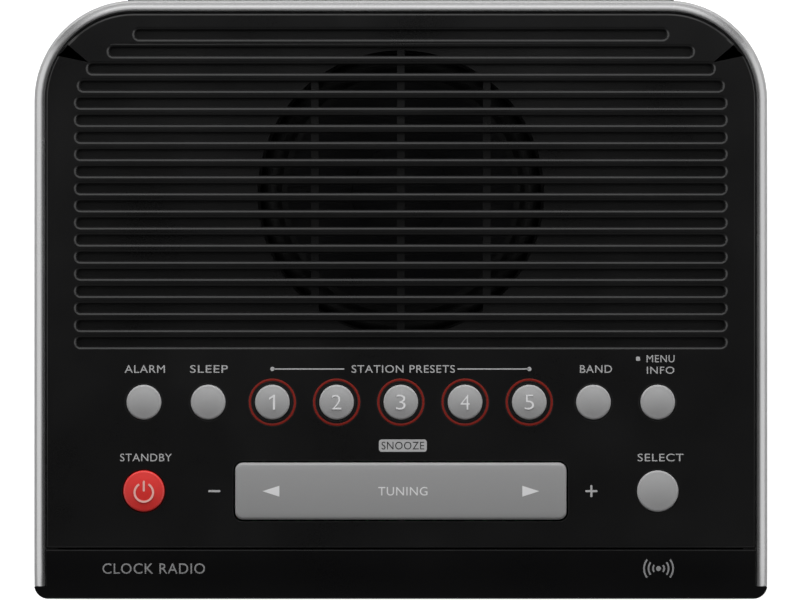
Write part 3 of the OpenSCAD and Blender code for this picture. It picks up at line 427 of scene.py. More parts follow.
        grain = 1.0 / (finish.grain_mm * MM)
        skin = use(
            "skin", Colour=(*finish.colour, 1.0), Drift=finish.drift, Roughness=finish.roughness, Grain=grain
        )
        colour, roughness, height = (skin.outputs[key] for key in ("Colour", "Roughness", "Height"))
        if finish.surface is Surface.TRACKED:
            tracks = use("tracks", Colour=colour)
            colour, height = tracks.outputs["Colour"], tracks.outputs["Height"]
        elif finish.surface is Surface.BRUSHED:
            height = use("brush_lines").outputs["Height"]
        elif finish.surface is Surface.WOVEN:
            height = use("weave").outputs["Height"]
        if finish.wear:
            colour = use("edge_rub", Colour=colour, Amount=finish.wear).outputs["Colour"]
        if finish.dust:
            dust = use("settled_dust", Colour=colour, Roughness=roughness, Amount=finish.dust)
            colour, roughness = dust.outputs["Colour"], dust.outputs["Roughness"]
        links.new(colour, shader.inputs["Base Color"])
        links.new(roughness, shader.inputs["Roughness"])
        if finish.glow:
            links.new(colour, shader.inputs["Emission Color"])
            shader.inputs["Emission Strength"].default_value = finish.glow
        if finish.surface is Surface.CLEAR:
            shader.inputs["Transmission Weight"].default_value = 1.0
            shader.inputs["IOR"].default_value = 1.49
        if finish.relief:
            bump = nodes.new("ShaderNodeBump")
            bump.inputs["Strength"].default_value = finish.relief
            bump.inputs["Distance"].default_value = 0.05 * MM
            links.new(height, bump.inputs["Height"])
            links.new(bump.outputs["Normal"], shader.inputs["Normal"])
        return made


# ------------------------------------------------------------------ mesh tools


@dataclass(frozen=True)
class Rounding:
    """Live bevel of a piece.

    Attributes:
        width: its width in millimetres.
        segments: its steps.
        angle: edges that turn by less, in degrees, stay as they are.
        share: gives the share of the width that an edge takes from its middle, in millimetres.
    """

    width: float
    segments: int = 3
    angle: float = 35.0
    share: Callable[[Vector], float] | None = None

    def weigh(self, mesh: bmesh.types.BMesh) -> None:
        """Writes each edge's share of the width into the mesh."""
        layer = mesh.edges.layers.float.new("bevel_weight_edge")
        for edge in mesh.edges:
            if len(edge.link_faces) == 2 and edge.calc_face_angle() > math.radians(self.angle):
                edge[layer] = self.share((edge.verts[0].co + edge.verts[1].co) / 2 / MM)


def lathe(profile: Sequence[Point], centre: Vector, steps: int = 72) -> bmesh.types.BMesh:
    """Turns a profile once round an upright axis.

    Args:
        profile: radius and height of each point, in metres; an open end lies on the axis.
        centre: a point on the axis.
        steps: sides of the turned shape.

    Returns:
        A closed shape with its faces outwards.
    """
    mesh = bmesh.new()
    line = [mesh.verts.new((centre.x + r, centre.y, centre.z + z)) for r, z in profile]
    edges = [mesh.edges.new(pair) for pair in zip(line, line[1:])]
    bmesh.ops.spin(
        mesh, geom=line + edges, cent=centre, axis=(0, 0, 1), angle=2 * math.pi, steps=steps, use_merge=True
    )
    return tidy(mesh)


def tidy(mesh: bmesh.types.BMesh) -> bmesh.types.BMesh:
    """Merges doubles, drops empty faces and turns the faces outwards."""
    bmesh.ops.remove_doubles(mesh, verts=mesh.verts, dist=2e-6)
    bmesh.ops.dissolve_degenerate(mesh, edges=mesh.edges, dist=1e-6)
    bmesh.ops.recalc_face_normals(mesh, faces=mesh.faces)
    return mesh


def lift_faces(mesh: bmesh.types.BMesh, faces: Sequence[bmesh.types.BMFace], rise: float) -> None:
    """Draws faces out of a shape along Z, and leaves the old ones in place."""
    moved = bmesh.ops.extrude_face_region(mesh, geom=faces)["geom"]
    verts = [item for item in moved if isinstance(item, bmesh.types.BMVert)]
    bmesh.ops.translate(mesh, vec=(0, 0, rise), verts=verts)


def cut_across(mesh: bmesh.types.BMesh, level: float, dist: float) -> None:
    """Cuts a shape with an upright plane across Y at a level, in metres."""
    bmesh.ops.bisect_plane(
        mesh, geom=mesh.verts[:] + mesh.edges[:] + mesh.faces[:], dist=dist,
        plane_co=(0, level, 0), plane_no=(0, 1, 0),
    )


def arc(centre: Point, radius: float, start: float, end: float, steps: int = 8) -> list[Point]:
    """Gives points along an arc.

    Args:
        centre: the arc's centre.
        radius: its radius.
        start: first angle in degrees.
        end: last angle in degrees.
        steps: number of stretches.

    Returns:
        The points, both ends included.
    """
    angles = [math.radians(start + (end - start) * i / steps) for i in range(steps + 1)]
    return [(centre[0] + radius * math.cos(a), centre[1] + radius * math.sin(a)) for a in angles]


def slab(
    width: float, depth: float, corner: float, low: float, high: float, rounding: float = 0.0,
    segments: int = 5,
) -> bmesh.types.BMesh:
    """Makes a flat slab with round corners in plan and a rounded upper edge.

    Args:
        width: size along X.
        depth: size along Y.
        corner: plan radius of the corners.
        low: height of the underside.
        high: height of the top.
        rounding: radius of the upper edge.
        segments: steps of that radius.

    Returns:
        The closed slab, centred on the Z axis.
    """
    mesh = bmesh.new()
    bmesh.ops.create_grid(mesh, x_segments=1, y_segments=1, size=0.5)
    bmesh.ops.scale(mesh, vec=(width, depth, 1), verts=mesh.verts)
    bmesh.ops.bevel(
        mesh, geom=mesh.verts[:], offset=corner, offset_type="OFFSET", segments=10, profile=0.5,
        affect="VERTICES", material=-1,
    )
    lift_faces(mesh, mesh.faces[:], high - low)
    bmesh.ops.translate(mesh, vec=(0, 0, low), verts=mesh.verts)
    bmesh.ops.recalc_face_normals(mesh, faces=mesh.faces)
    if rounding:
        rim = [e for e in mesh.edges if all(abs(v.co.z - high) < 1e-7 for v in e.verts)]
        bmesh.ops.bevel(
            mesh, geom=rim, offset=rounding, offset_type="OFFSET", segments=segments, profile=0.5,
            affect="EDGES", clamp_overlap=True, material=-1,
        )
    return mesh


def prism(outline: Sequence[Point], low: float, high: float) -> bmesh.types.BMesh:
    """Makes an upright prism.

    Args:
        outline: its plan, in millimetres.
        low: height of the underside, in metres.
        high: height of the top, in metres.

    Returns:
        The closed prism.
    """
    mesh = bmesh.new()
    face = mesh.faces.new([mesh.verts.new((x * MM, y * MM, low)) for x, y in outline])
    lift_faces(mesh, [face], high - low)
    bmesh.ops.recalc_face_normals(mesh, faces=mesh.faces)
    return mesh


def rod(radius: float, start: Vector, end: Vector, sides: int = 32) -> bmesh.types.BMesh:
    """Makes a closed round rod between two points.

    Args:
        radius: its radius.
        start: middle of one end.
        end: middle of the other end.
        sides: number of its sides.

    Returns:
        The rod.
    """
    mesh = bmesh.new()
    run = end - start
    turn = run.to_track_quat("Z", "Y").to_matrix().to_4x4()
    bmesh.ops.create_cone(
        mesh, cap_ends=True, segments=sides, radius1=radius, radius2=radius, depth=run.length,
        matrix=Matrix.Translation((start + end) / 2) @ turn,
    )
    return mesh


def join(parts: Iterable[bmesh.types.BMesh]) -> bmesh.types.BMesh:
    """Puts several shapes into one mesh and frees them."""
    whole = bmesh.new()
    for part in parts:
        carrier = bpy.data.meshes.new("carrier")
        part.to_mesh(carrier)
        part.free()
        whole.from_mesh(carrier)
        bpy.data.meshes.remove(carrier)
    return whole


def placed(mesh: bmesh.types.BMesh, place: Matrix | Vector) -> bmesh.types.BMesh:
    """Moves a shape by a vector or a matrix and gives it back."""
    matrix = place if isinstance(place, Matrix) else Matrix.Translation(place)
    bmesh.ops.transform(mesh, matrix=matrix, verts=mesh.verts)
    return mesh


def curved_bar(
    radius: float, stroke: float, span: Point, start: float, sweep: float, steps: int
) -> bmesh.types.BMesh:
    """Makes a flat bar that runs along an arc round the Z axis.

    Args:
        radius: its mean radius.
        stroke: its width.
        span: heights of its underside and its top.
        start: first angle, in radians.
        sweep: how far it turns, in radians.
        steps: stretches along it.

    Returns:
        The closed bar.
    """
    mesh = bmesh.new()
    inner, outer = radius - stroke / 2, radius + stroke / 2
    low, high = span
    turn = Matrix.Rotation(start, 4, "Z")
    section = [(inner, low), (outer, low), (outer, high), (inner, high)]
    loop = [mesh.verts.new(turn @ Vector((r, 0, z))) for r, z in section]
    face = mesh.faces.new(loop)
    bmesh.ops.spin(
        mesh, geom=[face, *face.edges, *loop], cent=(0, 0, 0), axis=(0, 0, 1), angle=sweep, steps=steps
    )
    return tidy(mesh)


def lettering(text: str, width: float, height: float, thick: float, weight: float = 0.0) -> bmesh.types.BMesh:
    """Makes letters that lie flat, centred on the origin, with their tops at height 0.

    Args:
        text: the words or numerals.
        width: width of the whole line.
        height: height of its capitals.
        thick: depth of the letters below the origin.
        weight: how far the strokes are widened, as a share of the letters' size.

    Returns:
        The letters as closed shapes.
    """
    curve = bpy.data.curves.new("lettering", "FONT")
    curve.body = text
    curve.resolution_u = 4
    curve.extrude = 0.5
    curve.offset = weight
    curve.space_character = 1.08
    holder = bpy.data.objects.new("lettering", curve)
    bpy.context.scene.collection.objects.link(holder)
    view = bpy.context.evaluated_depsgraph_get()
    flat = bpy.data.meshes.new_from_object(holder.evaluated_get(view))
    mesh = bmesh.new()
    mesh.from_mesh(flat)
    bpy.data.objects.remove(holder)
    bpy.data.curves.remove(curve)
    bpy.data.meshes.remove(flat)
    tidy(mesh)
    low, high = corners(mesh)
    size = high - low
    bmesh.ops.translate(mesh, vec=-(low + high) / 2, verts=mesh.verts)
    bmesh.ops.scale(mesh, vec=(width / size.x, height / size.y, thick / size.z), verts=mesh.verts)
    bmesh.ops.translate(mesh, vec=(0, 0, -thick / 2), verts=mesh.verts)
    return mesh


def corners(mesh: bmesh.types.BMesh) -> tuple[Vector, Vector]:
    """Gives the lowest and the highest corner of a shape's box."""
    low = Vector(min(v.co[i] for v in mesh.verts) for i in range(3))
    high = Vector(max(v.co[i] for v in mesh.verts) for i in range(3))
    return low, high


def middle(node: str) -> Vector:
    """Gives the middle of a node's box."""
    low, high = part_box(node)
    return (low + high) / 2


def slot_of(node: str) -> str:
    """Gives the material slot that the record states for a node."""
    return next(part["material_slot"] for part in frame["record"]["subparts"] if part["node"] == node)


def ear_chords(mesh: bmesh.types.BMesh) -> list[bmesh.types.BMEdge]:
    """Finds the flat edges that cut a triangle with two sharp sides off a face.

    Args:
        mesh: mesh to search.

    Returns:
        The edges, each once.
    """
    chords: dict[bmesh.types.BMEdge, None] = {}
    for face in mesh.faces:
        if len(face.verts) != 3:
            continue
        turns = {edge: math.degrees(edge.calc_face_angle(0.0)) for edge in face.edges}
        flat = [edge for edge, turn in turns.items() if turn < FLAT]
        if len(flat) == 1 and sum(turn > CREASE for turn in turns.values()) == 2:
            across = next(other for other in flat[0].link_faces if other != face)
            if len(across.verts) == 3:
                chords[flat[0]] = None
    return list(chords)


def copied(
    node: str, merge: float = 1.5e-5, level: float = 0.3, rounds: int = 3
) -> bmesh.types.BMesh:
    """Copies a node's mesh, with its doubles merged and its flat areas cut afresh.

    Args:
        node: the node to copy.
        merge: distance within which corners are merged, in metres.
        level: faces that turn by less, in degrees, are joined before they are cut.
        rounds: how many times the edges that cut off corners are turned.

    Returns:
        The copy.
    """
    mesh = bmesh.new()
    mesh.from_mesh(frame["nodes"][node].data)
    bmesh.ops.remove_doubles(mesh, verts=mesh.verts, dist=merge)
    bmesh.ops.dissolve_limit(mesh, angle_limit=math.radians(level), verts=mesh.verts, edges=mesh.edges)
    many_sided = [face for face in mesh.faces if len(face.verts) > 4]
    bmesh.ops.triangulate(mesh, faces=many_sided, quad_method="BEAUTY", ngon_method="BEAUTY")
    for _ in range(rounds):
        bmesh.ops.rotate_edges(mesh, edges=ear_chords(mesh), use_ccw=False)
    return mesh


@dataclass
class SubAssembly:
    """A group of pieces that belong together on the bench."""

    finishes: FinishLibrary
    count: int = field(default=0, init=False)

    def piece(
        self, name: str, mesh: bmesh.types.BMesh, finish: str, body: str = CABINET,
        slot: str | None = None, replaces: Sequence[str] = (), rounding: Rounding | None = None,
        smooth: float = 32.0,
    ) -> bpy.types.Object:
        """Turns a shape into a finished piece that rides on a body.

        Args:
            name: the piece's name.
            mesh: its shape, which is freed.
            finish: key in FINISHES.
            body: the body that it rides on.
            slot: not used.
            replaces: nodes that it stands for.
            rounding: a live bevel, if any.
            smooth: edges that turn by more degrees stay sharp.

        Returns:
            The new object.
        """
        if rounding and rounding.share:
            rounding.weigh(mesh)
        data = bpy.data.meshes.new(name)
        mesh.to_mesh(data)
        mesh.free()
        if "custom_normal" in data.attributes:
            data.attributes.remove(data.attributes["custom_normal"])
        data.shade_smooth()
        data.set_sharp_from_angle(angle=math.radians(smooth))
        data.materials.clear()
        data.materials.append(self.finishes.material(finish))
        made = bpy.data.objects.new(name, data)
        bpy.context.scene.collection.objects.link(made)
        if rounding:
            bevel = made.modifiers.new("rounding", "BEVEL")
            bevel.width = rounding.width * MM
            bevel.segments = rounding.segments
            bevel.limit_method = "WEIGHT" if rounding.share else "ANGLE"
            bevel.use_clamp_overlap = False
            bevel.loop_slide = False
            bevel.angle_limit = math.radians(rounding.angle)
            bevel.harden_normals = True
            bevel.miter_outer = "MITER_ARC"
        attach(made, body)
        if replaces:
            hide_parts(*replaces)
        self.count += 1
        LOG.info("%s rides on %s", name, body)
        return made

    def soften(
        self, node: str, name: str, rounding: Rounding, body: str = CABINET, finish: str | None = None
    ) -> bpy.types.Object:
        """Stands a softened copy in a node's place, with the corners that a mould leaves.

        Args:
            node: the node to copy.
            name: the new piece's name.
            rounding: the bevel of its corners.
            body: the body that it rides on.
            finish: key in FINISHES, if it isn't the slot's own.

        Returns:
            The new object.
        """
        slot = slot_of(node)
        return self.piece(name, copied(node), finish or slot, body, slot, [node], rounding, smooth=CREASE)


# ---------------------------------------------------------------- the cabinet


@dataclass
class Cabinet(SubAssembly):
    """Shells of the cabinet, its feet and its rating label."""

    foot_radius: float = 7.0
    foot_round: float = 0.8
    foot_groove: float = 0.5
    label_size: Point = (59.0, 25.0)
    hole_reach: float = 6.4
    hole_radius: float = 5.1
    hole_share: float = 0.15
    groove_share: float = 0.07
    rim_share: float = 0.45
    bar_reach: Point = (43.0, 9.0)
    seam_gap: float = 0.3
    slot_reach: float = 80.0
    slot_front: float = -14.0

    def build(self) -> None:
        """Makes every piece of the cabinet."""
        self.panel_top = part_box("top_panel")[1].z / MM
        self.holes = [(middle(node) / MM).xy for node in KeySet.nodes()]
        self.bar_spot = (middle("tuning_rocker") / MM).xy
        self.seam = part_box("top_panel")[0].y / MM - self.seam_gap
        self.soften("top_panel", "louvre_panel", Rounding(0.88, 6, share=self._panel_share))
        self.soften("side_band", "silver_band", Rounding(0.25, 2, share=self._outer_share("side_band")))
        self.soften("front_bezel", "front_fascia", Rounding(0.35, 3, share=self._fascia_share))
        self.soften("bottom_cover", "base_tray", Rounding(0.50, 3, share=self._outer_share("bottom_cover")))
        self.soften("rear_plate", "socket_plate", Rounding(0.25, 2, share=self._outer_share("rear_plate")))
        self._feet()
        self._label()

    def _panel_share(self, spot: Vector) -> float:
        """Gives the louvres and the outline a full round edge, and the key holes a small one."""
        if abs(spot.z - self.panel_top) > 0.01:
            return 0.0
        away = min((spot.xy - hole).length for hole in self.holes)
        if away < self.hole_reach:
            return self.hole_share if away < self.hole_radius else self.groove_share
        near_bar = all(abs(gap) < reach for gap, reach in zip(spot.xy - self.bar_spot, self.bar_reach))
        if near_bar:
            return self.hole_share
        return 1.0 if abs(spot.x) < self.slot_reach and spot.y > self.slot_front else self.rim_share

    def _fascia_share(self, spot: Vector) -> float:
        """Gives the seam in front of the panel and the rim of the lens's seat a round edge."""
        at_seam = abs(spot.y - self.seam) < 0.02 and spot.z > self.panel_top - 1
        return 1.0 if at_seam or abs(spot.y - CAD_BOX[0][1] / MM) < 0.01 else 0.0

    @staticmethod
    def _outer_share(node: str) -> Callable[[Vector], float]:
        """Gives a rule that rounds a shell's lowest edges and the edges of its rear face."""
        low, high = (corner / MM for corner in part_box(node))

        def share(spot: Vector) -> float:
            """Gives the share at a spot."""
            return 1.0 if spot.z < low.z + 0.01 or spot.y > high.y - 0.01 else 0.0

        return share

    def _feet(self) -> None:
        """Turns the four rubber feet, each with two grip grooves."""
        low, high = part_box("rubber_feet")
        r, e, g = self.foot_radius * MM, self.foot_round * MM, self.foot_groove * MM
        profile: list[Point] = [(0.0, high.z), (r, high.z)]
        profile += arc((r - e, low.z + e), e, 0, -90)
        for share in (0.72, 0.42):
            profile += [(r * share + g, low.z), (r * share, low.z + g), (r * share - g, low.z)]
        profile.append((0.0, low.z))
        spots = [
            Vector((x, y, 0.0))
            for x in (low.x + r, high.x - r)
            for y in (low.y + r, high.y - r)
        ]
        self.piece(
            "foot_pads", join(lathe(profile, spot) for spot in spots), "rubber_black",
            replaces=["rubber_feet"],
        )

    def _label(self) -> None:
        """Lays a blank foil label in its seat under the cabinet."""
        low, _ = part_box("bottom_cover")
        width, depth = (size * MM for size in self.label_size)
        foil = slab(width, depth, 1.2 * MM, low.z + 0.12 * MM, low.z + 0.32 * MM)
        self.piece("rating_label", placed(foil, Vector((0, -49 * MM, 0))), "label_foil", slot="silver_paint")


# ------------------------------------------------------------------- the keys


@dataclass
class KeySet(SubAssembly):
    """The eleven round keys, with rounded caps, and the rings round the presets."""

    clearance: float = 0.3
    flange_lip: float = 1.0
    flange_thick: float = 1.0
    stem_radius: float = 1.65
    cap_above_flange: float = 3.65
    edge: float = 0.58
    crown: float = 0.50
    sunk: float = 0.03
    ring_inset: float = 0.08
    ring_width: float = 0.54
    ring_rise: float = 0.07

    def build(self) -> None:
        """Makes every key and the five rings."""
        for node in self.nodes():
            self._key(node)
        self._rings()

    @staticmethod
    def nodes() -> list[str]:
        """Gives the names of the keys' nodes, from left to right."""
        return sorted((n for n in frame["nodes"] if n.endswith("_key") or n.startswith("preset_key")),
                      key=lambda n: middle(n).x)

    def _key(self, node: str) -> None:
        """Turns one key: crowned cap, retaining flange and stem."""
        low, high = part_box(node)
        flange = (high.x - low.x) / 2
        cap = flange - (self.clearance + self.flange_lip) * MM
        top = high.z - self.sunk * MM
        edge, crown = self.edge * MM, self.crown * MM
        shoulder = high.z - self.cap_above_flange * MM
        under = shoulder - self.flange_thick * MM
        flat = cap - edge
        dome = (flat * flat + crown * crown) / (2 * crown)
        lean = math.degrees(math.asin(flat / dome))
        profile = arc((0.0, top - dome), dome, 90, 90 - lean, 6)
        profile += arc((flat, top - crown - edge), edge, 76, 0, 7)
        profile += [(cap, shoulder), (flange, shoulder), (flange, under)]
        profile += [(self.stem_radius * MM, under), (self.stem_radius * MM, low.z), (0.0, low.z)]
        slot = slot_of(node)
        centre = middle(node)
        self.piece(
            f"{node}_cap", lathe(profile, Vector((centre.x, centre.y, 0.0)), 96), slot, node,
            replaces=[node], smooth=40.0,
        )

    def _rings(self) -> None:
        """Turns the five inlaid rings with a slightly rounded face."""
        low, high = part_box("preset_rings")
        outer = (high.y - low.y) / 2 - self.ring_inset * MM
        wide, rise = self.ring_width * MM, self.ring_rise * MM
        profile = [(outer - wide, low.z), (outer, low.z), (outer, high.z - rise)]
        profile += [(outer - wide / 2, high.z), (outer - wide, high.z - rise), (outer - wide, low.z)]
        presets = [n for n in self.nodes() if n.startswith("preset_key")]
        rings = (lathe(profile, Vector((middle(n).x, middle(n).y, 0.0)), 96) for n in presets)
        self.piece("ring_inlays", join(rings), "ring_red", replaces=["preset_rings"], smooth=60.0)


@dataclass
class TuningBar(SubAssembly):
    """The rocking bar: a rounded hollow shell with its hub and two stems."""

    corner: float = 1.9
    edge: float = 0.75
    skirt: float = 1.6
    shell: float = 1.5
    skirt_drop: float = 6.0
    hub_radius: float = 2.6
    stem_radius: float = 1.4
    stem_x: float = 28.0
    crown: float = 0.30
    sunk: float = 0.03

    def build(self) -> None:
        """Makes the bar."""
        low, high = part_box("tuning_rocker")
        high.z -= self.sunk * MM
        centre = middle("tuning_rocker")
        pivot = middle("rocker_pin")
        width, depth = high.x - low.x, high.y - low.y
        foot = high.z - self.skirt_drop * MM
        ceiling = high.z - self.shell * MM
        shell = slab(width, depth, self.corner * MM, foot, high.z, self.edge * MM, 6)
        self._crown(shell, depth / 2, high.z)
        self._hollow(shell, foot, ceiling)
        place = Vector((centre.x, centre.y, 0.0))
        parts = [placed(shell, place)]
        half = depth / 2 - 0.8 * MM
        hub = rod(self.hub_radius * MM, pivot + Vector((0, -half, 0)), pivot + Vector((0, half, 0)), 40)
        web = slab(2 * self.hub_radius * MM, depth - 2 * MM, 0.2 * MM, pivot.z, ceiling + 0.2 * MM)
        parts += [hub, placed(web, place)]
        for side in (-1, 1):
            base = place + Vector((side * self.stem_x * MM, 0, 0))
            start, end = base + Vector((0, 0, low.z)), base + Vector((0, 0, ceiling + 0.2 * MM))
            parts.append(rod(self.stem_radius * MM, start, end))
            rib = slab(1.2 * MM, depth - 2 * self.skirt * MM, 0.2 * MM, foot, ceiling + 0.2 * MM)
            parts.append(placed(rib, base))
        self.piece("tuning_bar", join(parts), "rocker_grey", "tuning_rocker", replaces=["tuning_rocker"])

    def _crown(self, shell: bmesh.types.BMesh, half: float, top: float) -> None:
        """Rounds the top of the bar a little from its rear edge to its front edge."""
        for share in (-0.75, -0.5, -0.25, 0.0, 0.25, 0.5, 0.75):
            cut_across(shell, share * half, 1e-7)
        for vert in shell.verts:
            if vert.co.z > top - 1.2 * self.edge * MM:
                vert.co.z -= self.crown * MM * (vert.co.y / half) ** 2

    def _hollow(self, shell: bmesh.types.BMesh, foot: float, ceiling: float) -> None:
        """Sinks the underside of the shell up to its ceiling."""
        under = [f for f in shell.faces if f.normal.z < -0.99]
        bmesh.ops.inset_region(shell, faces=under, thickness=self.skirt * MM, use_even_offset=True)
        raised = bmesh.ops.extrude_face_region(shell, geom=under)
        bmesh.ops.delete(shell, geom=under, context="FACES")
        verts = [item for item in raised["geom"] if isinstance(item, bmesh.types.BMVert)]
        bmesh.ops.translate(shell, vec=(0, 0, ceiling - foot), verts=verts)
        bmesh.ops.recalc_face_normals(shell, faces=shell.faces)


# ------------------------------------------------------------ printed legends


@dataclass(frozen=True)
class Legend:
    """A printed word: where its middle lies from a key, and its size, in millimetres."""

    text: str
    node: str
    up: float
    width: float
    height: float = 1.87
    across: float = 0.0


@dataclass
class Legends(SubAssembly):
    """Everything that is printed on the panel, the keys and the bar."""

    ink: float = 0.02
    shift: float = 0.20
    strip_curve: tuple[float, float, float] = (-61.1, 32.0, 39.8)
    strip_cuts: int = 17
    figure_one: tuple[Point, ...] = (
        (0.15, -1.8), (0.65, -1.8), (0.65, 1.8), (0.28, 1.8), (-0.80, 1.06), (-0.80, 0.58), (0.15, 1.16),
    )
    key_ink: float = 0.22
    wave_radii: tuple[float, ...] = (1.35, 2.45, 3.55)
    wave_stroke: float = 0.42
    wave_half: float = 38.0
    bracket_up: float = 8.1
    bracket_gap: float = 13.8
    words: tuple[Legend, ...] = (
        Legend("ALARM", "alarm_key", 8.1, 9.8),
        Legend("SLEEP", "sleep_key", 8.1, 9.2),
        Legend("STATION PRESETS", "preset_key_3", 8.1, 25.2, across=0.4),
        Legend("BAND", "band_key", 8.1, 7.8, across=0.4),
        Legend("MENU", "menu_key", 10.6, 6.8, 1.75, 0.5),
        Legend("INFO", "menu_key", 7.8, 6.7, 1.75, 0.5),
        Legend("STANDBY", "standby_key", 8.2, 12.6, across=0.3),
        Legend("SELECT", "select_key", 8.2, 11.2, across=0.5),
    )

    def build(self) -> None:
        """Prints the panel, the front strip, the numerals, the standby sign and the bar."""
        self.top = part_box("top_panel")[1].z
        self._panel()
        self._snooze()
        self._numerals()
        self._standby_sign()
        self._bar_signs()
        self._strip()

    def _print(
        self, name: str, mesh: bmesh.types.BMesh, finish: str, body: str = CABINET,
        slot: str = "key_grey", smooth: float = 20.0,
    ) -> None:
        """Adds a printed piece.

        Args:
            name: its name.
            mesh: its shape.
            finish: key in FINISHES.
            body: the body that it rides on.
            slot: not used.
            smooth: edges that turn by more degrees stay sharp.
        """
        self.piece(name, mesh, finish, body, slot, smooth=smooth)

    def _strip(self) -> None:
        """Prints a plain title and a sign of radio waves on the curved front strip."""
        title = lettering("CLOCK RADIO", 25.0 * MM, 2.55 * MM, 2 * self.ink * MM)
        placed(title, Vector((-60.3 * MM, -65.9 * MM, 0)))
        waves = []
        half, span = math.radians(self.wave_half), (-self.ink * MM, self.ink * MM)
        for turn in (0, math.pi):
            for radius in self.wave_radii:
                wave = curved_bar(radius * MM, self.wave_stroke * MM, span, -half, 2 * half, 14)
                waves.append(placed(wave, Matrix.Rotation(turn, 4, "Z")))
        waves.append(rod(0.6 * MM, Vector((0, 0, -self.ink * MM)), Vector((0, 0, self.ink * MM))))
        sign = placed(join(waves), Vector((62.9 * MM, -65.9 * MM, 0)))
        mesh = join([title, sign])
        self._lay_on_strip(mesh)
        self._print("strip_print", mesh, "strip_ink")

    def _lay_on_strip(self, mesh: bmesh.types.BMesh) -> None:
        """Drops flat print on to the strip, which curves down from the seam."""
        centre_y, centre_z, radius = (value * MM for value in self.strip_curve)
        low, high = corners(mesh)
        for step in range(1, self.strip_cuts):
            cut_across(mesh, low.y + (high.y - low.y) * step / self.strip_cuts, 1e-8)
        for vert in mesh.verts:
            vert.co.z += centre_z + math.sqrt(radius**2 - (vert.co.y - centre_y) ** 2)

    def _panel(self) -> None:
        """Prints the words, the bracket line of the presets and the signs beside the bar."""
        high = self.top + self.ink * MM
        marks = []
        for word in self.words:
            spot = middle(word.node)
            letters = lettering(word.text, word.width * MM, word.height * MM, 2 * self.ink * MM)
            across = (word.across + self.shift) * MM
            marks.append(placed(letters, Vector((spot.x + across, spot.y + word.up * MM, high))))
        line_y = middle("preset_key_3").y + self.bracket_up * MM
        for side, node in ((-1, "preset_key_1"), (1, "preset_key_5")):
            outer, inner = middle(node).x, side * self.bracket_gap * MM
            bar = slab(abs(outer - inner), 0.30 * MM, 0.1 * MM, self.top - self.ink * MM, high)
            marks.append(placed(bar, Vector(((outer + inner) / 2, line_y, 0))))
            foot = Vector((outer, line_y, self.top - self.ink * MM))
            marks.append(rod(0.52 * MM, foot, Vector((outer, line_y, high))))
        menu = middle("menu_key")
        square = slab(1.0 * MM, 1.0 * MM, 0.25 * MM, self.top - self.ink * MM, high)
        marks.append(placed(square, Vector((menu.x - 4.8 * MM, menu.y + 10.6 * MM, 0))))
        bar_y = middle("tuning_rocker").y
        for x, uprights in ((-45.5, (0.0,)), (46.5, (0.0, 90.0))):
            for turn in uprights:
                # the upright's top lies a hair higher, so that the two tops share no plane
                stroke = slab(2.9 * MM, 0.5 * MM, 0.1 * MM, self.top - self.ink * MM, high + turn * 1e-8)
                placed(stroke, Matrix.Rotation(math.radians(turn), 4, "Z"))
                marks.append(placed(stroke, Vector((x * MM, bar_y, 0))))
        self._print("panel_print", join(marks), "ink")

    def _snooze(self) -> None:
        """Prints the snooze pill above the bar, with its word in reverse."""
        spot = Vector((0.5 * MM, middle("tuning_rocker").y + 11.1 * MM, 0))
        low, high = self.top - self.ink * MM, self.top + self.ink * MM
        pill = slab(11.7 * MM, 3.0 * MM, 0.7 * MM, low, high)
        self._print("snooze_pill", placed(pill, spot), "ink")
        word = lettering("SNOOZE", 10.4 * MM, 1.9 * MM, self.ink * MM)
        spot.z = high + 0.5 * self.ink * MM
        self._print("snooze_word", placed(word, spot), "dark_ink", slot="panel_black")

    def _numerals(self) -> None:
        """Prints 1 to 5 on the preset keys."""
        for number in range(1, 6):
            node = f"preset_key_{number}"
            spot = middle(node)
            if number == 1:
                numeral = prism(self.figure_one, -self.key_ink * MM, 0.0)
            else:
                numeral = lettering(str(number), 2.3 * MM, 3.6 * MM, self.key_ink * MM, -0.012)
            spot.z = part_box(node)[1].z - 0.01 * MM
            self._print(f"numeral_{number}", placed(numeral, spot), "key_ink", node)

    def _standby_sign(self) -> None:
        """Prints the broken ring and the bar of the standby sign."""
        spot = middle("standby_key")
        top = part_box("standby_key")[1].z - 0.01 * MM
        low = top - self.key_ink * MM
        radius, stroke = 2.26 * MM, 0.50 * MM
        gap = math.radians(30)
        ring = curved_bar(radius, stroke, (low, top), math.pi / 2 + gap, 2 * math.pi - 2 * gap, 56)
        bar = placed(slab(stroke, 2.6 * MM, 0.15 * MM, low, top), Vector((0, 1.55 * MM, 0)))
        sign = placed(join([ring, bar]), Vector((spot.x, spot.y - 0.3 * MM, 0)))
        self._print("standby_sign", sign, "sign_ink", "standby_key", smooth=30.0)

    def _bar_signs(self) -> None:
        """Prints the word and the two arrows on the bar."""
        centre = middle("tuning_rocker")
        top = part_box("tuning_rocker")[1].z - 0.005 * MM
        word = lettering("TUNING", 12.0 * MM, 2.1 * MM, 0.05 * MM)
        marks = [placed(word, Vector((0.5 * MM, centre.y, top)))]
        for side in (-1, 1):
            arrow = bmesh.new()
            bmesh.ops.create_cone(
                arrow, cap_ends=True, segments=3, radius1=2.4 * MM, radius2=2.4 * MM, depth=0.05 * MM
            )
            placed(arrow, Matrix.Rotation(-side * math.pi / 2, 4, "Z"))
            placed(arrow, Matrix.Diagonal((1.15, 0.64, 1.0, 1.0)))
            marks.append(placed(arrow, Vector((side * 31.0 * MM, centre.y, top - 0.025 * MM))))
        self._print("bar_print", join(marks), "key_ink", "tuning_rocker")


# --------------------------------------------------------------- the display


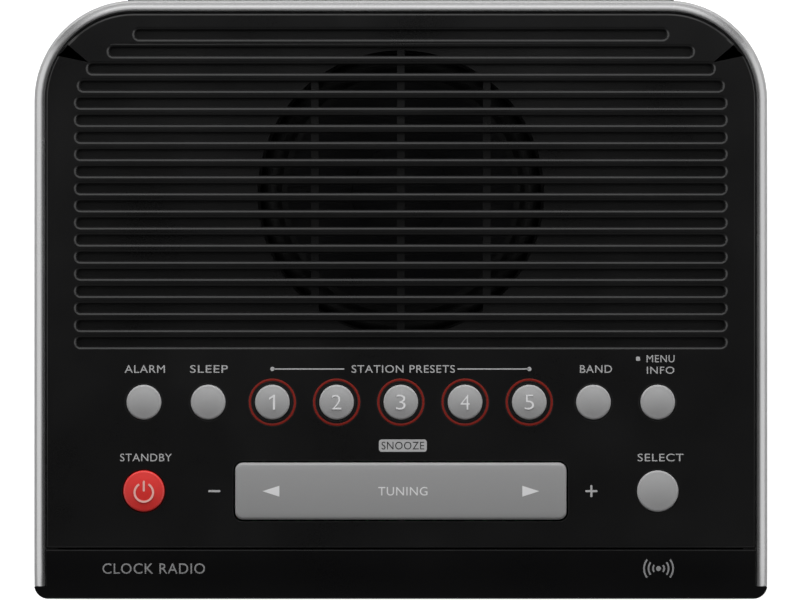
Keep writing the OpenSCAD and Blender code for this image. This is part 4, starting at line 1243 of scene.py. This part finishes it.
@dataclass
class Display(SubAssembly):
    """Lens, LCD glass and the lit clock that shows through them."""

    digit_height: float = 21.0
    digit_width: float = 11.5
    stroke: float = 2.3
    slant: float = 0.10
    pitch: float = 17.0
    time: str = "10:08"
    lit: dict[str, str] = field(default_factory=lambda: {
        "0": "abcdef", "1": "bc", "2": "abdeg", "3": "abcdg", "4": "bcfg",
        "5": "acdfg", "6": "acdefg", "7": "abc", "8": "abcdefg", "9": "abcdfg",
    })

    def build(self) -> None:
        """Makes the lens, the glass and the clock."""
        self._pane("display_lens", "lens_window", 3, 0.4, 4)
        self._pane("lcd_glass", "display_glass", 0.6, 0.25, 2)
        self._clock()

    @staticmethod
    def upright(mesh: bmesh.types.BMesh, centre: Vector) -> bmesh.types.BMesh:
        """Stands a flat shape up so that its top faces the front."""
        placed(mesh, Matrix.Rotation(math.pi / 2, 4, "X"))
        return placed(mesh, centre)

    def _pane(self, node: str, name: str, corner: float, edge: float, steps: int) -> None:
        """Makes a flat pane with softened edges, in the finish of its slot.

        Args:
            node: the node it stands for.
            name: the piece's name.
            corner: radius of its corners.
            edge: radius of its front edge.
            steps: steps of that radius.
        """
        low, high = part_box(node)
        size = high - low
        pane = slab(size.x, size.z, corner * MM, 0.0, size.y, edge * MM, steps)
        self.upright(pane, Vector((0, high.y, middle(node).z)))
        self.piece(name, pane, slot_of(node), replaces=[node])

    def _segment(self, letter: str) -> bmesh.types.BMesh:
        """Makes one bar of a seven-bar numeral, with pointed ends.

        Args:
            letter: a to g, clockwise from the top, with g in the middle.

        Returns:
            The bar, lying flat, in the numeral's own place.
        """
        half_w, half_h = self.digit_width / 2, self.digit_height / 2
        level = letter in "adg"
        places = {
            "a": (0, half_h), "d": (0, -half_h), "g": (0, 0), "b": (half_w, half_h / 2),
            "c": (half_w, -half_h / 2), "e": (-half_w, -half_h / 2), "f": (-half_w, half_h / 2),
        }
        reach = ((self.digit_width if level else half_h) - 0.5 - self.stroke) / 2
        half = self.stroke / 2
        bar = prism(
            [(-reach - half, 0), (-reach, -half), (reach, -half),
             (reach + half, 0), (reach, half), (-reach, half)],
            0.0, 0.06 * MM,
        )
        if not level:
            placed(bar, Matrix.Rotation(math.pi / 2, 4, "Z"))
        x, y = places[letter]
        placed(bar, Vector((x * MM, y * MM, 0)))
        return bar

    def _clock(self) -> None:
        """Sets the lit and unlit bars, the colon and the signal steps on the glass."""
        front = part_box("lcd_glass")[0].y
        centre = Vector((0, front - 0.01 * MM, middle("lcd_glass").z))
        lit, unlit = [], []
        digits = [c for c in self.time if c.isdigit()]
        for index, digit in enumerate(digits):
            x = (index - 1.5) * self.pitch + (2.5 if index > 1 else -2.5) - 8.0
            for letter in "abcdefg":
                bar = placed(self._segment(letter), Vector((x * MM, 0, 0)))
                (lit if letter in self.lit[digit] else unlit).append(bar)
        for y in (-4.2, 4.2):
            dot = slab(self.stroke * MM, self.stroke * MM, 0.4 * MM, 0.0, 0.06 * MM)
            lit.append(placed(dot, Vector((-8.0 * MM, y * MM, 0))))
        for step in range(5):
            height = 2.0 + 2.2 * step
            bar = slab(2.2 * MM, height * MM, 0.2 * MM, 0.0, 0.06 * MM)
            spot = Vector(((36.0 + 3.6 * step) * MM, (-10.5 + height / 2) * MM, 0))
            (lit if step < 4 else unlit).append(placed(bar, spot))
        shear = Matrix.Identity(4)
        shear[0][1] = self.slant
        for name, bars, finish in (("clock_lit", lit, "digit_glow"), ("clock_unlit", unlit, "digit_off")):
            mesh = placed(join(bars), shear)
            self.piece(name, self.upright(mesh, centre), finish, slot="lcd_glass", smooth=20.0)


# --------------------------------------------------- loudspeaker and the rest


@dataclass
class SoftenedSet(SubAssembly):
    """Parts that only need softer corners: node, name, and width and steps of the bevel."""

    parts: tuple[tuple[str, str, float, int], ...] = ()
    bodies: tuple[str, ...] = ()

    def build(self) -> None:
        """Softens each part; one that has a body of its own rides on that."""
        for node, name, width, steps in self.parts:
            body = node if node in self.bodies else CABINET
            self.soften(node, name, Rounding(width, steps), body=body)


@dataclass
class Loudspeaker(SoftenedSet):
    """The loudspeaker's pressed parts. Its cone and surround keep the model's own shapes."""

    parts: tuple[tuple[str, str, float, int], ...] = (
        ("speaker_basket", "basket_frame", 0.25, 2),
        ("speaker_magnet", "ring_magnet", 0.6, 2),
        ("speaker_yoke", "back_plate", 0.3, 2),
        ("speaker_front_plate", "pole_plate", 0.3, 2),
        ("speaker_screws", "driver_screws", 0.12, 2),
    )


@dataclass
class Controls(SoftenedSet):
    """The volume wheel, the sockets and the screws that show."""

    parts: tuple[tuple[str, str, float, int], ...] = (
        ("volume_wheel", "wheel_rim", 0.16, 2),
        ("dc_socket", "supply_inlet", 0.18, 2),
        ("headphone_socket", "phones_socket", 0.18, 2),
        ("line_in_socket", "player_socket", 0.18, 2),
        ("antenna_gland", "aerial_bush", 0.3, 3),
        ("cabinet_screws", "base_screws", 0.15, 2),
        ("bezel_and_rear_screws", "plate_screws", 0.15, 2),
    )
    bodies: tuple[str, ...] = ("volume_wheel",)


# -------------------------------------------------------------------- studio


@dataclass
class Studio:
    """Pale floor, soft lights and the camera straight above."""

    frame_width: float = 195.2
    distance: float = 2.0
    sensor: float = 36.0
    aim_y: float = -0.37
    aim_x: float = -0.20
    floor_size: float = 6.0
    floor_lift: float = 0.80
    backdrop: float = 0.95
    wash: float = 0.22
    by_height: tuple[Point, ...] = ((-1.0, 1.0), (0.80, 1.0), (0.93, 0.04), (1.0, 0.02))
    by_bearing: tuple[Point, ...] = (
        (-1.0, 0.10), (-0.7, 0.10), (-0.5, 0.9), (0.5, 0.9),
        (0.62, 0.24), (0.76, 0.24), (0.86, 0.58), (1.0, 0.58),
    )

    def build(self) -> None:
        """Sets everything up."""
        self._floor()
        self._world()
        self._light("rear_box", (0.0, 0.55, 0.32), (1.1, 0.45), 6.1)
        self._light("top_wash", (0.0, 0.29, 0.40), (0.40, 0.30), self.wash, glossy=True)
        self._camera()
        bpy.context.scene.view_settings.view_transform = "Standard"

    def _floor(self) -> None:
        """Lays a large plain floor."""
        mesh = bmesh.new()
        bmesh.ops.create_grid(mesh, x_segments=1, y_segments=1, size=self.floor_size / 2)
        data = bpy.data.meshes.new("floor")
        mesh.to_mesh(data)
        mesh.free()
        paint = bpy.data.materials.new("floor_paint")
        paint.use_nodes = True
        shader = paint.node_tree.nodes["Principled BSDF"]
        shader.inputs["Base Color"].default_value = (0.58, 0.58, 0.58, 1)
        shader.inputs["Roughness"].default_value = 0.7
        shader.inputs["Emission Color"].default_value = (1, 1, 1, 1)
        lift = paint.node_tree.nodes.new("ShaderNodeMath")
        lift.operation = "MULTIPLY"
        lift.inputs[1].default_value = self.floor_lift
        paint.node_tree.links.new(
            paint.node_tree.nodes.new("ShaderNodeLightPath").outputs["Is Camera Ray"], lift.inputs[0]
        )
        paint.node_tree.links.new(lift.outputs[0], shader.inputs["Emission Strength"])
        data.materials.append(paint)
        floor = bpy.data.objects.new("floor", data)
        bpy.context.scene.collection.objects.link(floor)

    def _world(self) -> None:
        """Surrounds the bench with soft boxes at the rear and the sides, under a dark ceiling."""
        world = bpy.data.worlds.new("studio")
        bpy.context.scene.world = world
        world.use_nodes = True
        nodes, links = world.node_tree.nodes, world.node_tree.links
        place = nodes.new("ShaderNodeTexCoord").outputs["Generated"]
        height = nodes.new("ShaderNodeSeparateXYZ")
        links.new(place, height.inputs[0])
        level = nodes.new("ShaderNodeVectorMath")
        level.operation = "MULTIPLY"
        level.inputs[1].default_value = (1, 1, 0)
        links.new(place, level.inputs[0])
        heading = nodes.new("ShaderNodeVectorMath")
        heading.operation = "NORMALIZE"
        links.new(level.outputs[0], heading.inputs[0])
        bearing = nodes.new("ShaderNodeSeparateXYZ")
        links.new(heading.outputs[0], bearing.inputs[0])
        shares = []
        for source, stops in ((height.outputs["Z"], self.by_height), (bearing.outputs["Y"], self.by_bearing)):
            span = nodes.new("ShaderNodeMapRange")
            span.inputs["From Min"].default_value = -1.0
            links.new(source, span.inputs["Value"])
            ramp = nodes.new("ShaderNodeValToRGB")
            steps = ramp.color_ramp.elements
            while len(steps) < len(stops):
                steps.new(1.0)
            for step, (at, glow) in zip(steps, stops):
                step.position = (at + 1) / 2
                step.color = (glow, glow, glow, 1)
            links.new(span.outputs[0], ramp.inputs[0])
            shares.append(ramp.outputs[0])
        both = nodes.new("ShaderNodeMath")
        both.operation = "MULTIPLY"
        for share, socket in zip(shares, both.inputs):
            links.new(share, socket)
        seen = nodes.new("ShaderNodeMix")
        links.new(nodes.new("ShaderNodeLightPath").outputs["Is Camera Ray"], seen.inputs[0])
        links.new(both.outputs[0], seen.inputs[2])
        seen.inputs[3].default_value = self.backdrop
        nodes["Background"].inputs["Color"].default_value = (1, 1, 1, 1)
        links.new(seen.outputs[0], nodes["Background"].inputs["Strength"])

    def _light(
        self, name: str, place: tuple[float, float, float], size: Point, power: float, glossy: bool = False
    ) -> None:
        """Adds a soft box that faces the radio.

        Args:
            name: its name.
            place: its middle, in metres.
            size: its width and height, in metres.
            power: its power in watts.
            glossy: whether it shows in reflections, and there alone.
        """
        data = bpy.data.lights.new(name, "AREA")
        data.shape = "RECTANGLE"
        data.size, data.size_y = size
        data.energy = power
        box = bpy.data.objects.new(name, data)
        box.location = place
        aim = Vector((0, 0, 0.04)) - box.location
        box.rotation_euler = aim.to_track_quat("-Z", "Y").to_euler()
        box.visible_glossy = glossy
        box.visible_diffuse = not glossy
        bpy.context.scene.collection.objects.link(box)

    def _camera(self) -> None:
        """Hangs a long lens straight above the panel, with the rear at the top."""
        data = bpy.data.cameras.new("camera")
        data.sensor_width = self.sensor
        data.lens = self.sensor * self.distance / (self.frame_width * MM)
        data.clip_end = 50
        camera = bpy.data.objects.new("camera", data)
        camera.location = (self.aim_x * MM, self.aim_y * MM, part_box("top_panel")[1].z + self.distance)
        bpy.context.scene.collection.objects.link(camera)
        bpy.context.scene.camera = camera


def dress_nodes(finishes: FinishLibrary) -> None:
    """Gives every node of the model the finish of its slot.

    Args:
        finishes: where the materials come from.
    """
    for name, node in frame["nodes"].items():
        node.data.materials.clear()
        node.data.materials.append(finishes.material(slot_of(name)))


def main() -> None:
    """Builds the whole radio and its studio."""
    logging.basicConfig(level=logging.INFO, format="%(message)s")
    finishes = FinishLibrary()
    dress_nodes(finishes)
    for kind in (Cabinet, KeySet, TuningBar, Legends, Display, Loudspeaker, Controls):
        part = kind(finishes)
        part.build()
        LOG.info("%s: %d pieces", kind.__name__, part.count)
    Studio().build()


if __name__ == "__main__":
    main()
